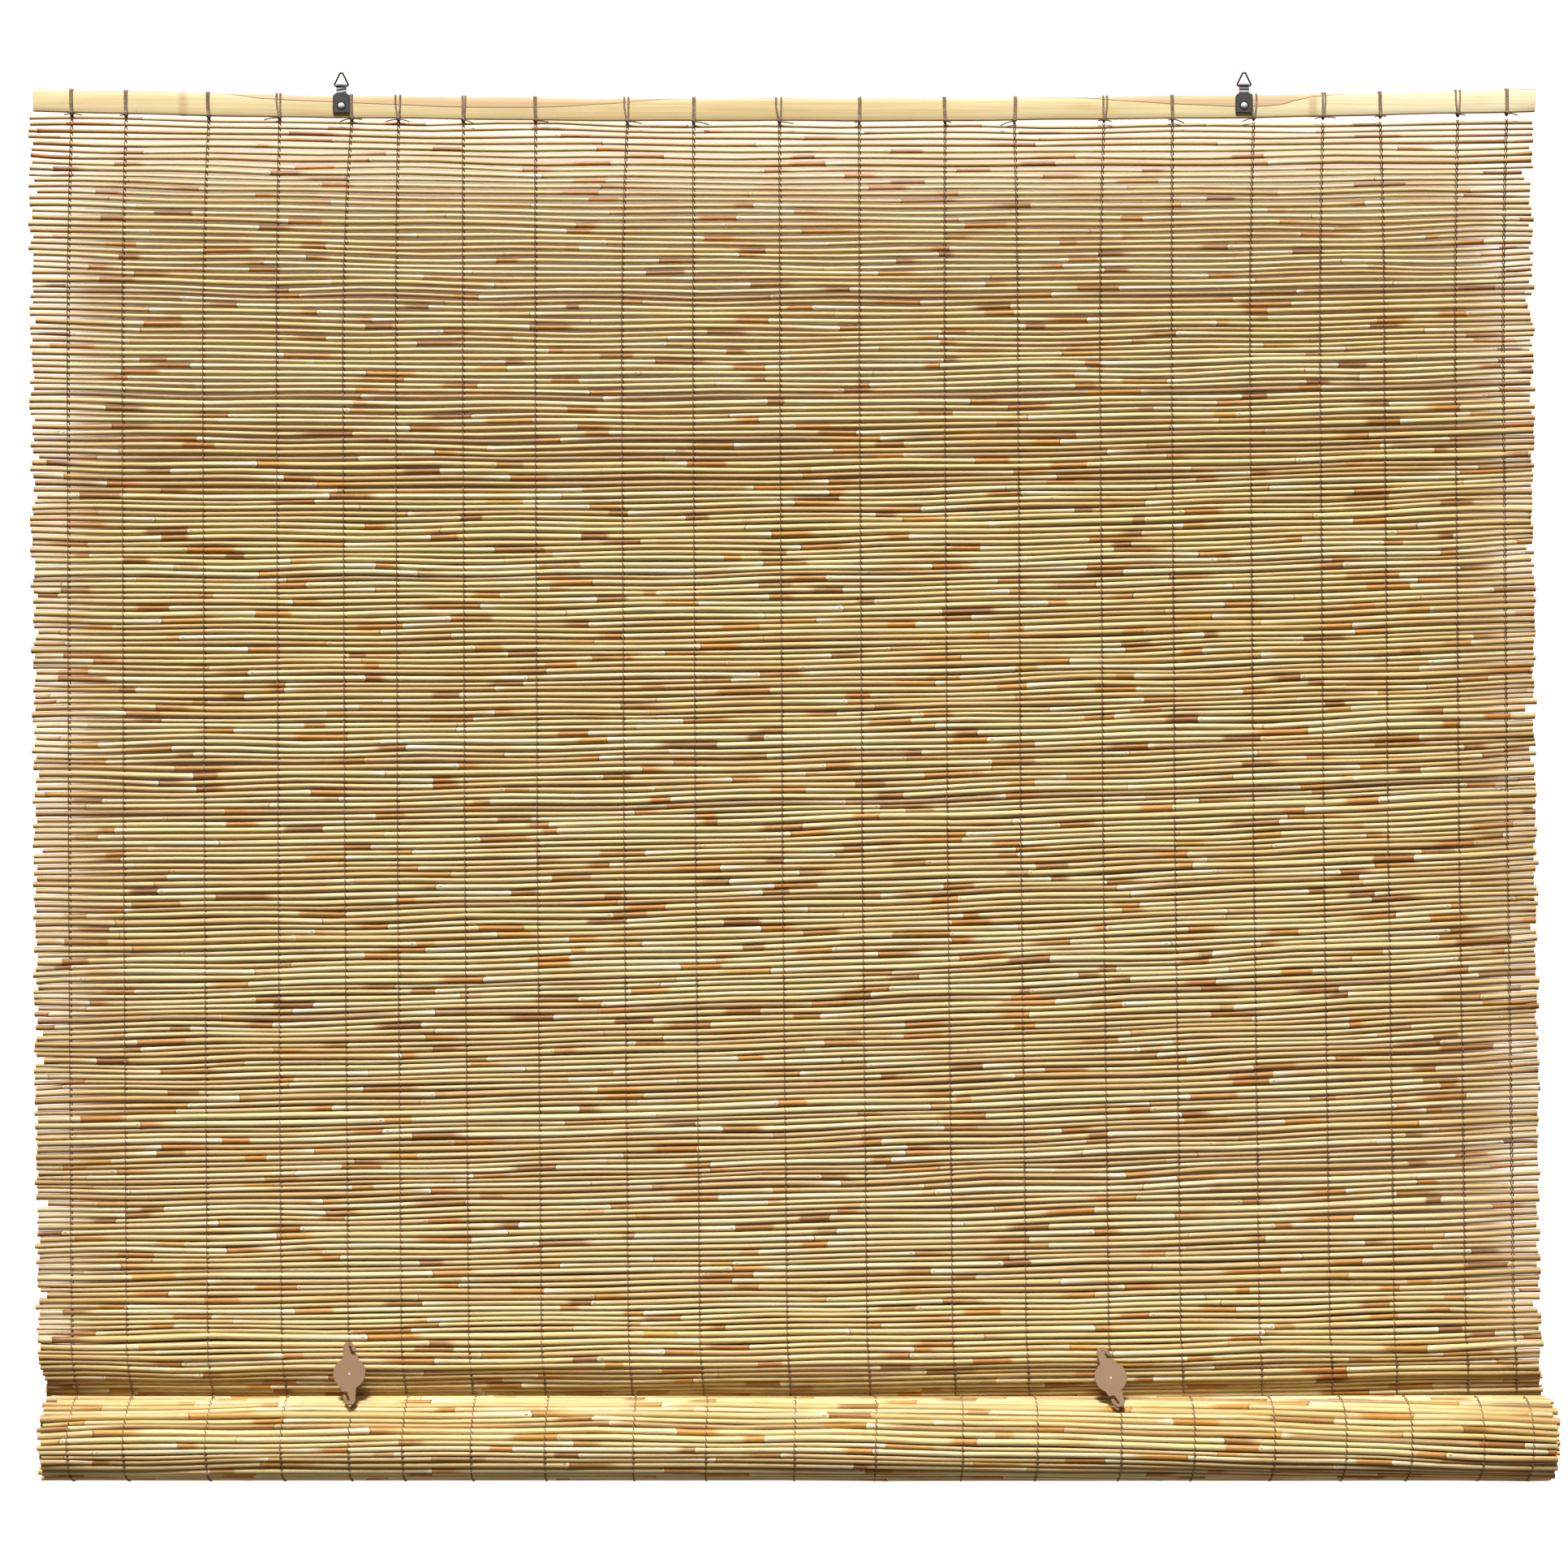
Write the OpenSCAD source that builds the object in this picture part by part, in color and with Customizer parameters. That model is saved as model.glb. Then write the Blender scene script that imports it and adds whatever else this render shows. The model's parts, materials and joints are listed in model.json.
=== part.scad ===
// Roll-up outdoor blind of natural reeds: a bowed bamboo head rail hung from two strap hangers,
// a mat of reeds tied by rows of twine, and a roll at its foot held up by two hook clips.
// Millimetres. X runs to the viewer's right, Y towards the wall, Z up.
// The origin lies on the hanging line, inside the top of the two rings.

/* [Blind] */
// Width of the reed mat
blind_w = 1219; // [900:1:1800]
// Flat hanging length of the mat, from the head rail to the level of the clips' hooks
drop = 987; // [500:1:1800]

/* [Reeds] */
// Diameter of a reed
reed_d = 3.6; // [2.6:0.1:5]
// Open space between one reed and the next
row_gap = 1.2; // [0.8:0.1:2]
// Thickness of the mat's wall between its reeds
wall_t = 1.2; // [0.8:0.1:2]
// Most that a reed's end stands back from the mat's side
ragged = 7; // [0:0.5:20]
// Distance from a side of the mat to the ends of the gaps that light shows through
gap_inset = 14; // [10:1:60]

/* [Roll] */
// Number of turns in the roll
roll_turns = 6; // [4:1:8]
// Radius of the hollow in the middle of the roll
core_r = 9; // [6:0.5:14]
// Open space between one turn and the next
turn_gap = 0.4; // [0.3:0.1:1]
// How far the roll lies to the right of the mat
roll_shift = 8; // [0:1:20]

/* [Head rail] */
// How far the bamboo slat's ends stand in from the mat's sides
rail_inset = 1.5; // [0:0.5:20]
// Height of the slat
rail_h = 18; // [14:0.5:30]
// Thickness of the slat
rail_t = 4; // [3:0.1:8]
// How much higher the slat's ends stand than its middle
rail_bow = 7.5; // [3:0.5:12]
// Space between the slat's underside and the first reed
rail_gap = 1.6; // [0.5:0.1:6]

/* [Twine] */
// Diameter of the twine
cord_d = 1.4; // [0.8:0.1:2.4]

/* [Hangers] */
// Width of a hanger's plate
strap_w = 13.8; // [12:0.1:20]
// Height of the plate on the slat
strap_h = 14.2; // [10:0.1:18]
// Width of the neck that holds the ring
neck_w = 8; // [5:0.1:8.2]
// Thickness of the folded steel strip
sheet_t = 0.8; // [0.5:0.1:1.2]
// Height of the ring's hinge above the slat
eye_rise = 7.2; // [5:0.1:12]
// Diameter of the ring's wire
wire_d = 1.4; // [1:0.1:1.8]
// Width of the ring, measured between the wire's corners
ring_w = 12.2; // [12:0.1:18]
// Height of the ring, measured to the wire's corner
ring_h = 12.6; // [11:0.1:18]
// Diameter of the rivet's head
rivet_d = 5.4; // [4:0.1:8]

/* [Clips] */
// Diameter of a clip's disc
clip_d = 26; // [20:0.5:34]
// Distance from a clip's centre to the tip of either hook
clip_reach = 25; // [22:0.5:30]
// Thickness of a clip
clip_t = 2.4; // [1.6:0.1:4]
// Lean of the left clip, from the front of the mat to the front of the roll
left_clip_lean = 21.6; // [16:0.1:26]
// Lean of the right clip, which hangs a little lower
right_clip_lean = 25; // [16:0.1:26]

/* [Hidden] */
$fn = 48;

// Clearances: beside a still piece, in a hinge, in a rivet's hole, and round the turning roll
fit = 0.1;
running_fit = 0.05;
hole_fit = 0.05;
sweep_fit = 0.4;
// Overrun of a cut past the faces that it opens
overrun = 1;
// Length by which a straight stretch of twine or wire runs on into its bends
tuck = 0.1;

// Sizes that follow from the driving ones
reed_r = reed_d / 2;
row_pitch = reed_d + row_gap;
turn_pitch = reed_d + turn_gap;
cord_r = cord_d / 2;
// Twine is fuller where it bends than where it is pulled straight
bend_share = 1.1;
bend_r = cord_r * bend_share;
wire_r = wire_d / 2;

// Twine: the places of the rows of twine, as shares of the mat's width
cord_shares = [
    -0.473, -0.437, -0.382, -0.335, -0.287, -0.256, -0.213, -0.165, -0.104, -0.060, -0.003,
    0.050, 0.107, 0.153, 0.2125, 0.258, 0.312, 0.358, 0.396, 0.4475, 0.480
];
last_cord = len(cord_shares) - 1;

// Hangers: each sits just to the left of one row of twine
left_hanger_cord = 4;
right_hanger_cord = 16;
beside_gap = 0.6;
eye_r = wire_r + running_fit;
loop_r = eye_r + sheet_t;
// Slope of the ring's sides, and the size of its bends as shares of its wire and height
ring_slope = atan2(ring_h, ring_w / 2);
ring_top_slope = 90 - ring_slope;
corner_r_share = 0.85;
top_r_share = 0.12;
wire_bend_share = 1.03;
corner_r = wire_d * corner_r_share;
top_r = ring_h * top_r_share;
ring_top = ring_h - top_r / sin(ring_top_slope) + top_r;

// Rivets: their head, shank and clinched tail, as shares of the head's diameter
rivet_rise_share = 0.28;
rivet_shank_share = 0.48;
rivet_tail_share = 0.85;
rivet_tail_rise_share = 0.15;
rivet_d_shank = rivet_d * rivet_shank_share;
// Height of the rivet on the plate, as a share of the plate's height from its foot
rivet_place_share = 0.37;

// Planes: the rings' plane is zero, and the slat and mat lie behind it
mat_y = sheet_t + rail_t / 2;
strand_y = max(rail_t / 2, reed_r) + fit + bend_r;

// Head rail: its length, the radius of its bow, and the straight stretches that follow it
rail_l = blind_w - 2 * rail_inset;
bow_r = pow(rail_l / 2, 2) / (2 * rail_bow) + rail_bow / 2;
rail_steps = 24;
// Bamboo knuckles: places as shares of the slat's length, and their size as shares of its section
knuckle_shares = [-0.4, 0.352];
knuckle_r_share = 0.5;
knuckle_proud_share = 0.12;
knuckle_h_share = 0.94;

function rise(x) = bow_r - sqrt(bow_r * bow_r - x * x);
function cord_x(i) = cord_shares[i] * blind_w;
function hanger_x(i) = cord_x(i) - strap_w / 2 - cord_r - beside_gap;

// Roll: a spiral of half turns, each a half pitch smaller than the one before it
roll_r = core_r + roll_turns * turn_pitch;
half_turns = 2 * roll_turns;

// Clips: the rows of twine that they hook, and their turns on their own faces
left_clip_cord = 4;
right_clip_cord = 14;
left_clip_turn = 0;
right_clip_turn = 12;
// One hook's outline and slot, as shares of the disc's radius across and the reach along
hook_shares = [
    [-0.46, 0.30], [-0.46, 0.88], [-0.34, 1], [0.04, 1], [0.30, 0.84], [0.36, 0.66],
    [0.60, 0.36]
];
slot_shares = [[-0.13, 0.88], [0.01, 0.88], [0.16, 0.70], [0.62, 0.70], [0.62, 0.60], [0.08, 0.60]];
// Height of the slot that holds the twine, as a share of the reach
slot_mid_share = 0.75;
// Moulding mark in the middle of a clip, as shares of the clip's thickness
mark_r_share = 0.3;
mark_rise_share = 0.16;

// A clip leans from the front of the mat, at some height above the roll's axis, to the front of the roll
clip_back_y = strand_y + cord_r + sweep_fit;
clip_clear_r = roll_r + strand_y + bend_r + sweep_fit;
function clip_tip(turn) = clip_reach * cos(turn);
function clip_foot_y(turn, lean) = clip_back_y + 2 * clip_tip(turn) * sin(lean);
function clip_rise(turn, lean) =
    2 * clip_tip(turn) * cos(lean) + sqrt(pow(clip_clear_r, 2) - pow(clip_foot_y(turn, lean), 2));
hook_rise = clip_rise(left_clip_turn, left_clip_lean);

// Levels, counted down from the inside of the ring's top
rail_mid_z = -(ring_top - wire_r) - eye_rise - rise(hanger_x(right_hanger_cord));
mat_top_z = rail_mid_z - rail_h - rail_gap;
hook_z = mat_top_z - drop;
axis_z = hook_z - hook_rise;

function rail_top_z(x) = rail_mid_z + rise(x);
function eye_z(x) = rail_top_z(x) + eye_rise;

// Bight: the arc of mat that leads from the hooks to the back of the roll
bight_r = (hook_rise * hook_rise - roll_r * roll_r) / (2 * roll_r);
bight_deg = atan2(hook_rise, bight_r);
bight_l = bight_r * bight_deg * PI / 180;
// Share of the bight that twine covers on its front before the roll closes on it
bight_front_share = 0.8;
// Share of a turn that the outer twine shows on the roll
roll_twine_share = 0.82;
// Opening between the bight's foot and the roll's first reed
seam_gap = 0.3;

// The mat and each half turn of the roll hold a whole number of reeds
mat_l = drop + bight_l;
mat_rows = round(mat_l / row_pitch);
mat_pitch = mat_l / mat_rows;

function half_r(k) = roll_r - k * turn_pitch / 2;
function half_deg(k) = bight_deg - 180 * k;
function half_rows(k) = round(PI * half_r(k) / row_pitch);
// Every second half turn is centred half a pitch away from the roll's axis
function half_mid(k) =
    (k % 2) * turn_pitch / 2 * [cos(bight_deg - 180), sin(bight_deg - 180)];

// Gaps: every second row of the wall is open between the mat's two margins
gap_rows_share = 0.5;
gap_h_share = 0.9;
gap_h = row_gap * gap_h_share;
most_gaps = 110;

function cord_name(i) = str("warp_cord_", i < 9 ? "0" : "", i + 1);

// Sweeps a profile about an axis along X, from one angle above the rearward direction
module sweep_about_x(from_deg, sweep_deg) {
    rotate([0, 90, 0]) rotate([0, 0, from_deg + 90]) rotate_extrude(angle = sweep_deg) children();
}

// A round bar along X
module bar_x(r, from_x, to_x) {
    translate([from_x, 0, 0]) rotate([0, 90, 0]) cylinder(r = r, h = to_x - from_x);
}

// A share between 0 and 1 that jumps about from one reed to the next
function stagger_share(i) = i * 0.618 - floor(i * 0.618);

// One reed, with ends that stand back unevenly
module reed(i) {
    bar_x(reed_r, -blind_w / 2 + ragged * stagger_share(i), blind_w / 2 - ragged * stagger_share(3 * i));
}

module head_rail() {
    color("burlywood") difference() {
        union() {
            translate([0, mat_y, rail_mid_z]) rotate([90, 0, 0])
                linear_extrude(rail_t, center = true) rail_front();
            for (share = knuckle_shares) knuckle(share * rail_l);
        }
        for (i = [left_hanger_cord, right_hanger_cord])
            translate([hanger_x(i), mat_y, rivet_z(i)]) rotate([90, 0, 0])
                cylinder(d = rivet_d_shank + 2 * hole_fit, h = rail_t + 2 * overrun, center = true);
    }
}

// Front view of the slat, bowed so that its ends stand higher
module rail_front() {
    xs = [for (i = [0:rail_steps]) (i / rail_steps - 0.5) * rail_l];
    polygon(concat(
        [for (i = [0:rail_steps]) [xs[i], rise(xs[i])]],
        [for (i = [rail_steps:-1:0]) [xs[i], rise(xs[i]) - rail_h]]
    ));
}

// A low ridge across the slat's front
module knuckle(x) {
    r = rail_t * knuckle_r_share;
    proud = rail_t * knuckle_proud_share;
    translate([x, mat_y - rail_t / 2 + r - proud, rail_top_z(x) - rail_h / 2])
        cylinder(r = r, h = rail_h * knuckle_h_share, center = true);
}

function rivet_z(i) = rail_top_z(hanger_x(i)) - strap_h * (1 - rivet_place_share);

// A strip of steel folded round the ring's wire, with both leaves riveted to the slat
module hanger_strap(i) {
    x = hanger_x(i);
    color("dimgray") translate([x, 0, eye_z(x)]) difference() {
        intersection() {
            rotate([90, 0, 90]) linear_extrude(strap_w, center = true) strap_side();
            rotate([90, 0, 0]) linear_extrude(2 * (loop_r + overrun), center = true) strap_front();
        }
        translate([0, 0, rivet_z(i) - eye_z(x)]) rotate([90, 0, 0])
            cylinder(d = rivet_d_shank + 2 * hole_fit, h = 2 * (loop_r + overrun), center = true);
    }
}

// Side view of the folded strip
module strap_side() {
    difference() {
        union() {
            circle(r = loop_r);
            translate([-sheet_t, -eye_rise - strap_h]) square([2 * sheet_t, eye_rise + strap_h]);
        }
        circle(r = eye_r);
    }
}

// Front view of the strip: a neck that widens to the plate
module strap_front() {
    shoulder = (strap_w - neck_w) / 4;
    polygon([
        [-neck_w / 2, loop_r + overrun], [neck_w / 2, loop_r + overrun],
        [neck_w / 2, -eye_rise + shoulder], [strap_w / 2 - shoulder / 2, -eye_rise],
        [strap_w / 2, -eye_rise - shoulder], [strap_w / 2, -eye_rise - strap_h + shoulder / 2],
        [strap_w / 2 - shoulder / 2, -eye_rise - strap_h],
        [shoulder / 2 - strap_w / 2, -eye_rise - strap_h],
        [-strap_w / 2, -eye_rise - strap_h + shoulder / 2], [-strap_w / 2, -eye_rise - shoulder],
        [shoulder / 2 - strap_w / 2, -eye_rise], [-neck_w / 2, -eye_rise + shoulder]
    ]);
}

// A rivet with a domed head on the plate and a clinched tail behind the slat
module hanger_rivet(i) {
    head_h = rivet_d * rivet_rise_share;
    dome_r = (pow(rivet_d / 2, 2) + head_h * head_h) / (2 * head_h);
    tail_h = rivet_d * rivet_tail_rise_share;
    front_y = -sheet_t - running_fit;
    back_y = sheet_t + rail_t + running_fit;
    shank_l = back_y - front_y + tail_h + head_h / 2;
    color("whitesmoke") translate([hanger_x(i), 0, rivet_z(i)]) rotate([90, 0, 0]) {
        intersection() {
            translate([0, 0, -front_y + head_h - dome_r]) sphere(r = dome_r);
            translate([0, 0, -front_y]) cylinder(d = rivet_d + overrun, h = head_h + overrun);
        }
        translate([0, 0, -back_y - tail_h]) {
            cylinder(d = rivet_d_shank, h = shank_l);
            cylinder(d = rivet_d * rivet_tail_share, h = tail_h);
        }
    }
}

// A ring of wire bent to a triangle, hinged in the strap's eye
module hanger_ring(i) {
    x = hanger_x(i);
    low_in = corner_r / tan(ring_slope / 2);
    top_in = top_r / tan(ring_top_slope);
    side_l = norm([ring_w / 2, ring_h]) - low_in - top_in;
    color("black") translate([x, 0, eye_z(x)]) {
        bar_x(wire_r, low_in - ring_w / 2 - tuck, ring_w / 2 - low_in + tuck);
        for (side = [0, 1]) mirror([side, 0, 0]) {
            translate([ring_w / 2 - low_in, 0, corner_r])
                wire_bend(corner_r, -90, 180 - ring_slope);
            translate([ring_w / 2, 0, 0]) rotate([0, ring_slope - 90, 0])
                translate([0, 0, low_in - tuck]) cylinder(r = wire_r, h = side_l + 2 * tuck);
        }
        translate([0, 0, ring_h - top_r / sin(ring_top_slope)])
            wire_bend(top_r, ring_top_slope, 180 - 2 * ring_top_slope);
    }
}

// A bend of wire in the upright plane, from one angle above the rightward direction
module wire_bend(r, from_deg, sweep_deg) {
    rotate([90, 0, 0]) rotate([0, 0, from_deg]) rotate_extrude(angle = sweep_deg)
        translate([r, 0]) circle(r = wire_r * wire_bend_share);
}

// The hanging mat: reeds on one thin wall, flat down to the hooks and then curved back to the roll
module reed_mat() {
    wall_w = blind_w - 2 * ragged;
    color("tan") difference() {
        translate([0, mat_y, 0]) union() {
            translate([-wall_w / 2, -wall_t / 2, hook_z]) cube([wall_w, wall_t, drop]);
            translate([0, bight_r, hook_z]) sweep_about_x(180, bight_deg)
                translate([bight_r - wall_t / 2, -wall_w / 2]) square([wall_t, wall_w]);
            for (i = [0:mat_rows - 1]) translate(mat_place((i + 0.5) * mat_pitch)) reed(i);
        }
        for (g = [0:gap_count() - 1]) mat_gap(g);
    }
}

function mat_place(s) =
    s <= drop ? [0, 0, mat_top_z - s] : bight_place((s - drop) / bight_r * 180 / PI);
function bight_place(deg) = [0, bight_r * (1 - cos(deg)), hook_z - bight_r * sin(deg)];
function gap_count() = min(most_gaps, floor(drop / mat_pitch * gap_rows_share) - 1);

// A slot through the wall between two reeds, from margin to margin
module mat_gap(g) {
    row = round((g + 1) / gap_rows_share);
    l = blind_w - 2 * gap_inset;
    translate([-l / 2, mat_y - wall_t, mat_top_z - row * mat_pitch - gap_h / 2])
        cube([l, 2 * wall_t, gap_h]);
}

// The rolled foot of the mat: the same wall and reeds wound in a spiral
module reed_roll() {
    wall_w = blind_w - 2 * ragged;
    seam_deg = seam_gap / roll_r * 180 / PI;
    color("wheat") translate([roll_shift, mat_y, axis_z]) union() {
        for (k = [0:half_turns - 1]) translate([0, half_mid(k)[0], half_mid(k)[1]])
            sweep_about_x(half_deg(k + 1), 180 - (k == 0 ? seam_deg : 0))
                translate([half_r(k) - wall_t / 2, -wall_w / 2]) square([wall_t, wall_w]);
        for (k = [0:half_turns - 1]) for (j = [0:half_rows(k) - 1]) roll_reed(k, j);
    }
}

// One reed of a half turn. The first half turn starts half a pitch after the mat's last reed.
module roll_reed(k, j) {
    late = k == 0 ? 0.5 : 0;
    deg = half_deg(k) - 180 * (j + late) / (half_rows(k) + late);
    translate([0, half_mid(k)[0] + half_r(k) * cos(deg), half_mid(k)[1] + half_r(k) * sin(deg)])
        reed(k * half_rows(0) + j);
}

// One row of twine: a loop over the slat, down both faces of the mat and into the roll
module warp_cord(i) {
    x = cord_x(i);
    top_z = rail_top_z(x);
    color("sienna") translate([x, mat_y, 0]) union() {
        translate([0, 0, top_z]) sweep_about_x(0, 180) twine_section(strand_y, bend_r);
        for (side = [-1, 1]) translate([0, side * strand_y, hook_z - tuck])
            cylinder(r = cord_r, h = top_z - hook_z + 2 * tuck);
        translate([0, bight_r, hook_z]) {
            sweep_about_x(180, bight_deg * bight_front_share) twine_section(bight_r + strand_y, bend_r);
            sweep_about_x(180, bight_deg) twine_section(bight_r - strand_y, bend_r);
        }
    }
}

module twine_section(place_r, r) {
    translate([place_r, 0]) circle(r = r);
}

// The twine that shows round the outside of the roll, one strand for each row
module roll_cords() {
    start_deg = half_deg(0) - seam_gap / roll_r * 180 / PI;
    tail_deg = 360 * roll_twine_share - 180;
    color("sienna") for (i = [0:last_cord]) translate([cord_x(i) + roll_shift, mat_y, axis_z]) union() {
        sweep_about_x(half_deg(1), start_deg - half_deg(1)) twine_section(roll_r + strand_y, bend_r);
        translate([0, half_mid(1)[0], half_mid(1)[1]])
            sweep_about_x(half_deg(1) - tail_deg, tail_deg) twine_section(half_r(1) + strand_y, cord_r);
    }
}

// A flat plastic clip: a disc with a hook at each end, one for the mat's twine and one for the roll's
module clip(i, turn, lean) {
    x = cord_x(i) + clip_reach * slot_mid_share * sin(turn);
    color("rosybrown") translate([x, mat_y - clip_back_y, axis_z + clip_rise(turn, lean)])
        rotate([-lean, 0, 0]) translate([0, 0, -clip_tip(turn)])
            rotate([90, 0, 0]) rotate([0, 0, turn]) {
                linear_extrude(clip_t) clip_outline();
                translate([0, 0, clip_t]) cylinder(r = clip_t * mark_r_share, h = clip_t * mark_rise_share);
            }
}

module clip_outline() {
    circle(d = clip_d);
    for (deg = [0, 180]) rotate([0, 0, deg]) difference() {
        polygon([for (p = hook_shares) [p[0] * clip_d / 2, p[1] * clip_reach]]);
        polygon([for (p = slot_shares) [p[0] * clip_d / 2, p[1] * clip_reach]]);
    }
}

head_rail();
hanger_strap(left_hanger_cord);  // hanger_strap_left
hanger_strap(right_hanger_cord);  // hanger_strap_right
hanger_rivet(left_hanger_cord);  // hanger_rivet_left
hanger_rivet(right_hanger_cord);  // hanger_rivet_right
hanger_ring(left_hanger_cord);  // hanger_ring_left
hanger_ring(right_hanger_cord);  // hanger_ring_right
reed_mat();
reed_roll();
roll_cords();
clip(left_clip_cord, left_clip_turn, left_clip_lean);  // clip_left
clip(right_clip_cord, right_clip_turn, right_clip_lean);  // clip_right
for (i = [0:last_cord]) warp_cord(i);
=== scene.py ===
import json
import math
import random

import bpy
import numpy as np
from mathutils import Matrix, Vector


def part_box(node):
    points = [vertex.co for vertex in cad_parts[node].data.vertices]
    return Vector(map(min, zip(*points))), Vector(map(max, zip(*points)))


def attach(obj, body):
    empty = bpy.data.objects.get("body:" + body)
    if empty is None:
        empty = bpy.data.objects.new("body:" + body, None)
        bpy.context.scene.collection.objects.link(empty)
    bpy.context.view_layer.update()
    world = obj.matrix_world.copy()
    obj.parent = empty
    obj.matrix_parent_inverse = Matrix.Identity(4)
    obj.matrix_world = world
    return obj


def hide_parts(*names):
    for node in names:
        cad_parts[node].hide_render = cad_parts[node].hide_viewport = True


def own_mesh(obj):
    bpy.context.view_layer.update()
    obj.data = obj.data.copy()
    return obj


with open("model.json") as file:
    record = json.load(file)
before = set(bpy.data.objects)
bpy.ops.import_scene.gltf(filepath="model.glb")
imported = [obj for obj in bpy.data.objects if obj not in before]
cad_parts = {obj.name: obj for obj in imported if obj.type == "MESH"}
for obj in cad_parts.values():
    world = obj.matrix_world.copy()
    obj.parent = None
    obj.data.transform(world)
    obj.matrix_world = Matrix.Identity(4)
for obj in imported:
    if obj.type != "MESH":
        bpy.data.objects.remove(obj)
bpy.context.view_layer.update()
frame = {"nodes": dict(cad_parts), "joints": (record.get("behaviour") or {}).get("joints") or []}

# Reed: the stems are dry natural reed, hollow, with a node every 120 to 260 mm. One internode is modelled,
# the stretch between two nodes with the low rim that a leaf sheath leaves, and one cut butt with its open
# bore.
STEM_SIDES = 8
NODE_RIM = 1.07
RING_SHARES = [0.03, 0.27, 0.5, 0.73, 0.97]
BUTT_WALL = 0.3
BUTT_DEPTH = 2.5
DOUBLE_GAP = 0.000002


def start_piece():
    """Leaves edit mode and deselects everything, so that the next operator acts on the new piece alone."""
    if bpy.context.object and bpy.context.object.mode != "OBJECT":
        bpy.ops.object.mode_set(mode="OBJECT")
    bpy.ops.object.select_all(action="DESELECT")


def select_points(piece, test):
    """In edit mode, selects the points of a piece whose place passes a test."""
    bpy.ops.object.mode_set(mode="EDIT")
    bpy.ops.mesh.select_mode(type="VERT")
    bpy.ops.mesh.select_all(action="DESELECT")
    bpy.ops.object.mode_set(mode="OBJECT")
    for point in piece.data.vertices:
        point.select = test(point.co)
    bpy.ops.object.mode_set(mode="EDIT")


def take_pattern(piece):
    """The points and faces of a modelled piece, to copy from. The piece itself is removed."""
    bpy.ops.object.mode_set(mode="OBJECT")
    points = np.array([point.co for point in piece.data.vertices])
    faces = [list(face.vertices) for face in piece.data.polygons]
    bpy.data.objects.remove(piece)
    return points, faces


start_piece()
bpy.ops.mesh.primitive_cylinder_add(
    vertices=STEM_SIDES, radius=1, depth=1, end_fill_type="NOTHING", rotation=(0, math.pi / 2, 0)
)
internode = bpy.context.object
bpy.ops.object.transform_apply(rotation=True)
bpy.ops.object.mode_set(mode="EDIT")
for share in RING_SHARES:
    bpy.ops.mesh.select_all(action="SELECT")
    bpy.ops.mesh.bisect(plane_co=(share - 0.5, 0, 0), plane_no=(1, 0, 0))
select_points(internode, lambda co: abs(co.x) > 0.499)
bpy.ops.transform.resize(value=(1, NODE_RIM, NODE_RIM))
internode_points, internode_faces = take_pattern(internode)

start_piece()
bpy.ops.mesh.primitive_circle_add(
    vertices=STEM_SIDES, radius=NODE_RIM, fill_type="NGON", rotation=(0, math.pi / 2, 0)
)
butt = bpy.context.object
bpy.ops.object.transform_apply(rotation=True)
bpy.ops.object.mode_set(mode="EDIT")
bpy.ops.mesh.select_all(action="SELECT")
bpy.ops.mesh.inset(thickness=BUTT_WALL, depth=0)
bpy.ops.mesh.extrude_region_move(TRANSFORM_OT_translate={"value": (-BUTT_DEPTH, 0, 0)})
butt_points, butt_faces = take_pattern(butt)

# Reed mat: each row is one reed, tied side by side by 21 rows of twine. The mat hangs from the head slat,
# bends back at the clips in a bight, and winds into the roll as a spiral of half turns, each smaller than
# the last.
DROP = 0.987
ROLL_R = 0.033
TURN_PITCH = 0.004
HALF_TURNS = 12
MAT_ROWS = 218
HALF_TURN_ROWS = [22, 20, 19, 18, 16, 15, 14, 12, 11, 10, 9, 7]
MAT_HALF_WIDTH = 0.6095
TOP_SPREAD = 0.13
TOP_SPREAD_ROWS = 9

_, roll_mid_y, roll_mid_z = next(j["pos_m"] for j in frame["joints"] if j["name"] == "roll_turn")
mat_y = roll_mid_y
mat_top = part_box("reed_mat")[1].z
hook_rise = mat_top - DROP - roll_mid_z
bight_r = (hook_rise ** 2 - ROLL_R ** 2) / (2 * ROLL_R)
bight_angle = math.atan2(hook_rise, bight_r)
mat_length = DROP + bight_r * bight_angle


def mat_point(path):
    """The mat's middle at a length along it from its top: y, z, and the y and z of the way that it faces."""
    path = np.asarray(path, float)
    bend = np.clip((path - DROP) / bight_r, 0, bight_angle)
    y = mat_y + bight_r * (1 - np.cos(bend))
    z = mat_top - np.minimum(path, DROP) - bight_r * np.sin(bend)
    face_y, face_z = -np.cos(bend), -np.sin(bend)
    start = mat_length
    for half in range(HALF_TURNS):
        radius = ROLL_R - half * TURN_PITCH / 2
        turned = (path - start) / radius
        on_it = turned > 0
        angle = bight_angle - half * math.pi - np.clip(turned, 0, math.pi)
        aside = half % 2 * TURN_PITCH / 2
        y = np.where(on_it, mat_y - aside * math.cos(bight_angle) + radius * np.cos(angle), y)
        z = np.where(on_it, roll_mid_z - aside * math.sin(bight_angle) + radius * np.sin(angle), z)
        face_y = np.where(on_it, -np.cos(angle), face_y)
        face_z = np.where(on_it, -np.sin(angle), face_z)
        start += math.pi * radius
    return y, z, face_y, face_z


# The rows don't lie level: they rise towards both ends under the bowed slat, and lower down to the right.
LAG_PATHS = [0, 0.1, 0.3, 0.45, 0.7, 0.85, 0.99, 1.1]
LAG_TILT = [-0.002, -0.001, 0.008, 0.011, 0.020, 0.016, 0.008, 0.0065]
LAG_BOW = [0.0045, 0.0065, 0.0065, 0.0065, 0.0063, 0.0045, 0.002, 0.0095]
DRIFT_PATHS = [0, 0.987, 1.06, 1.2]
DRIFT = [-0.003, 0.004, 0.010, 0.012]


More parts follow.
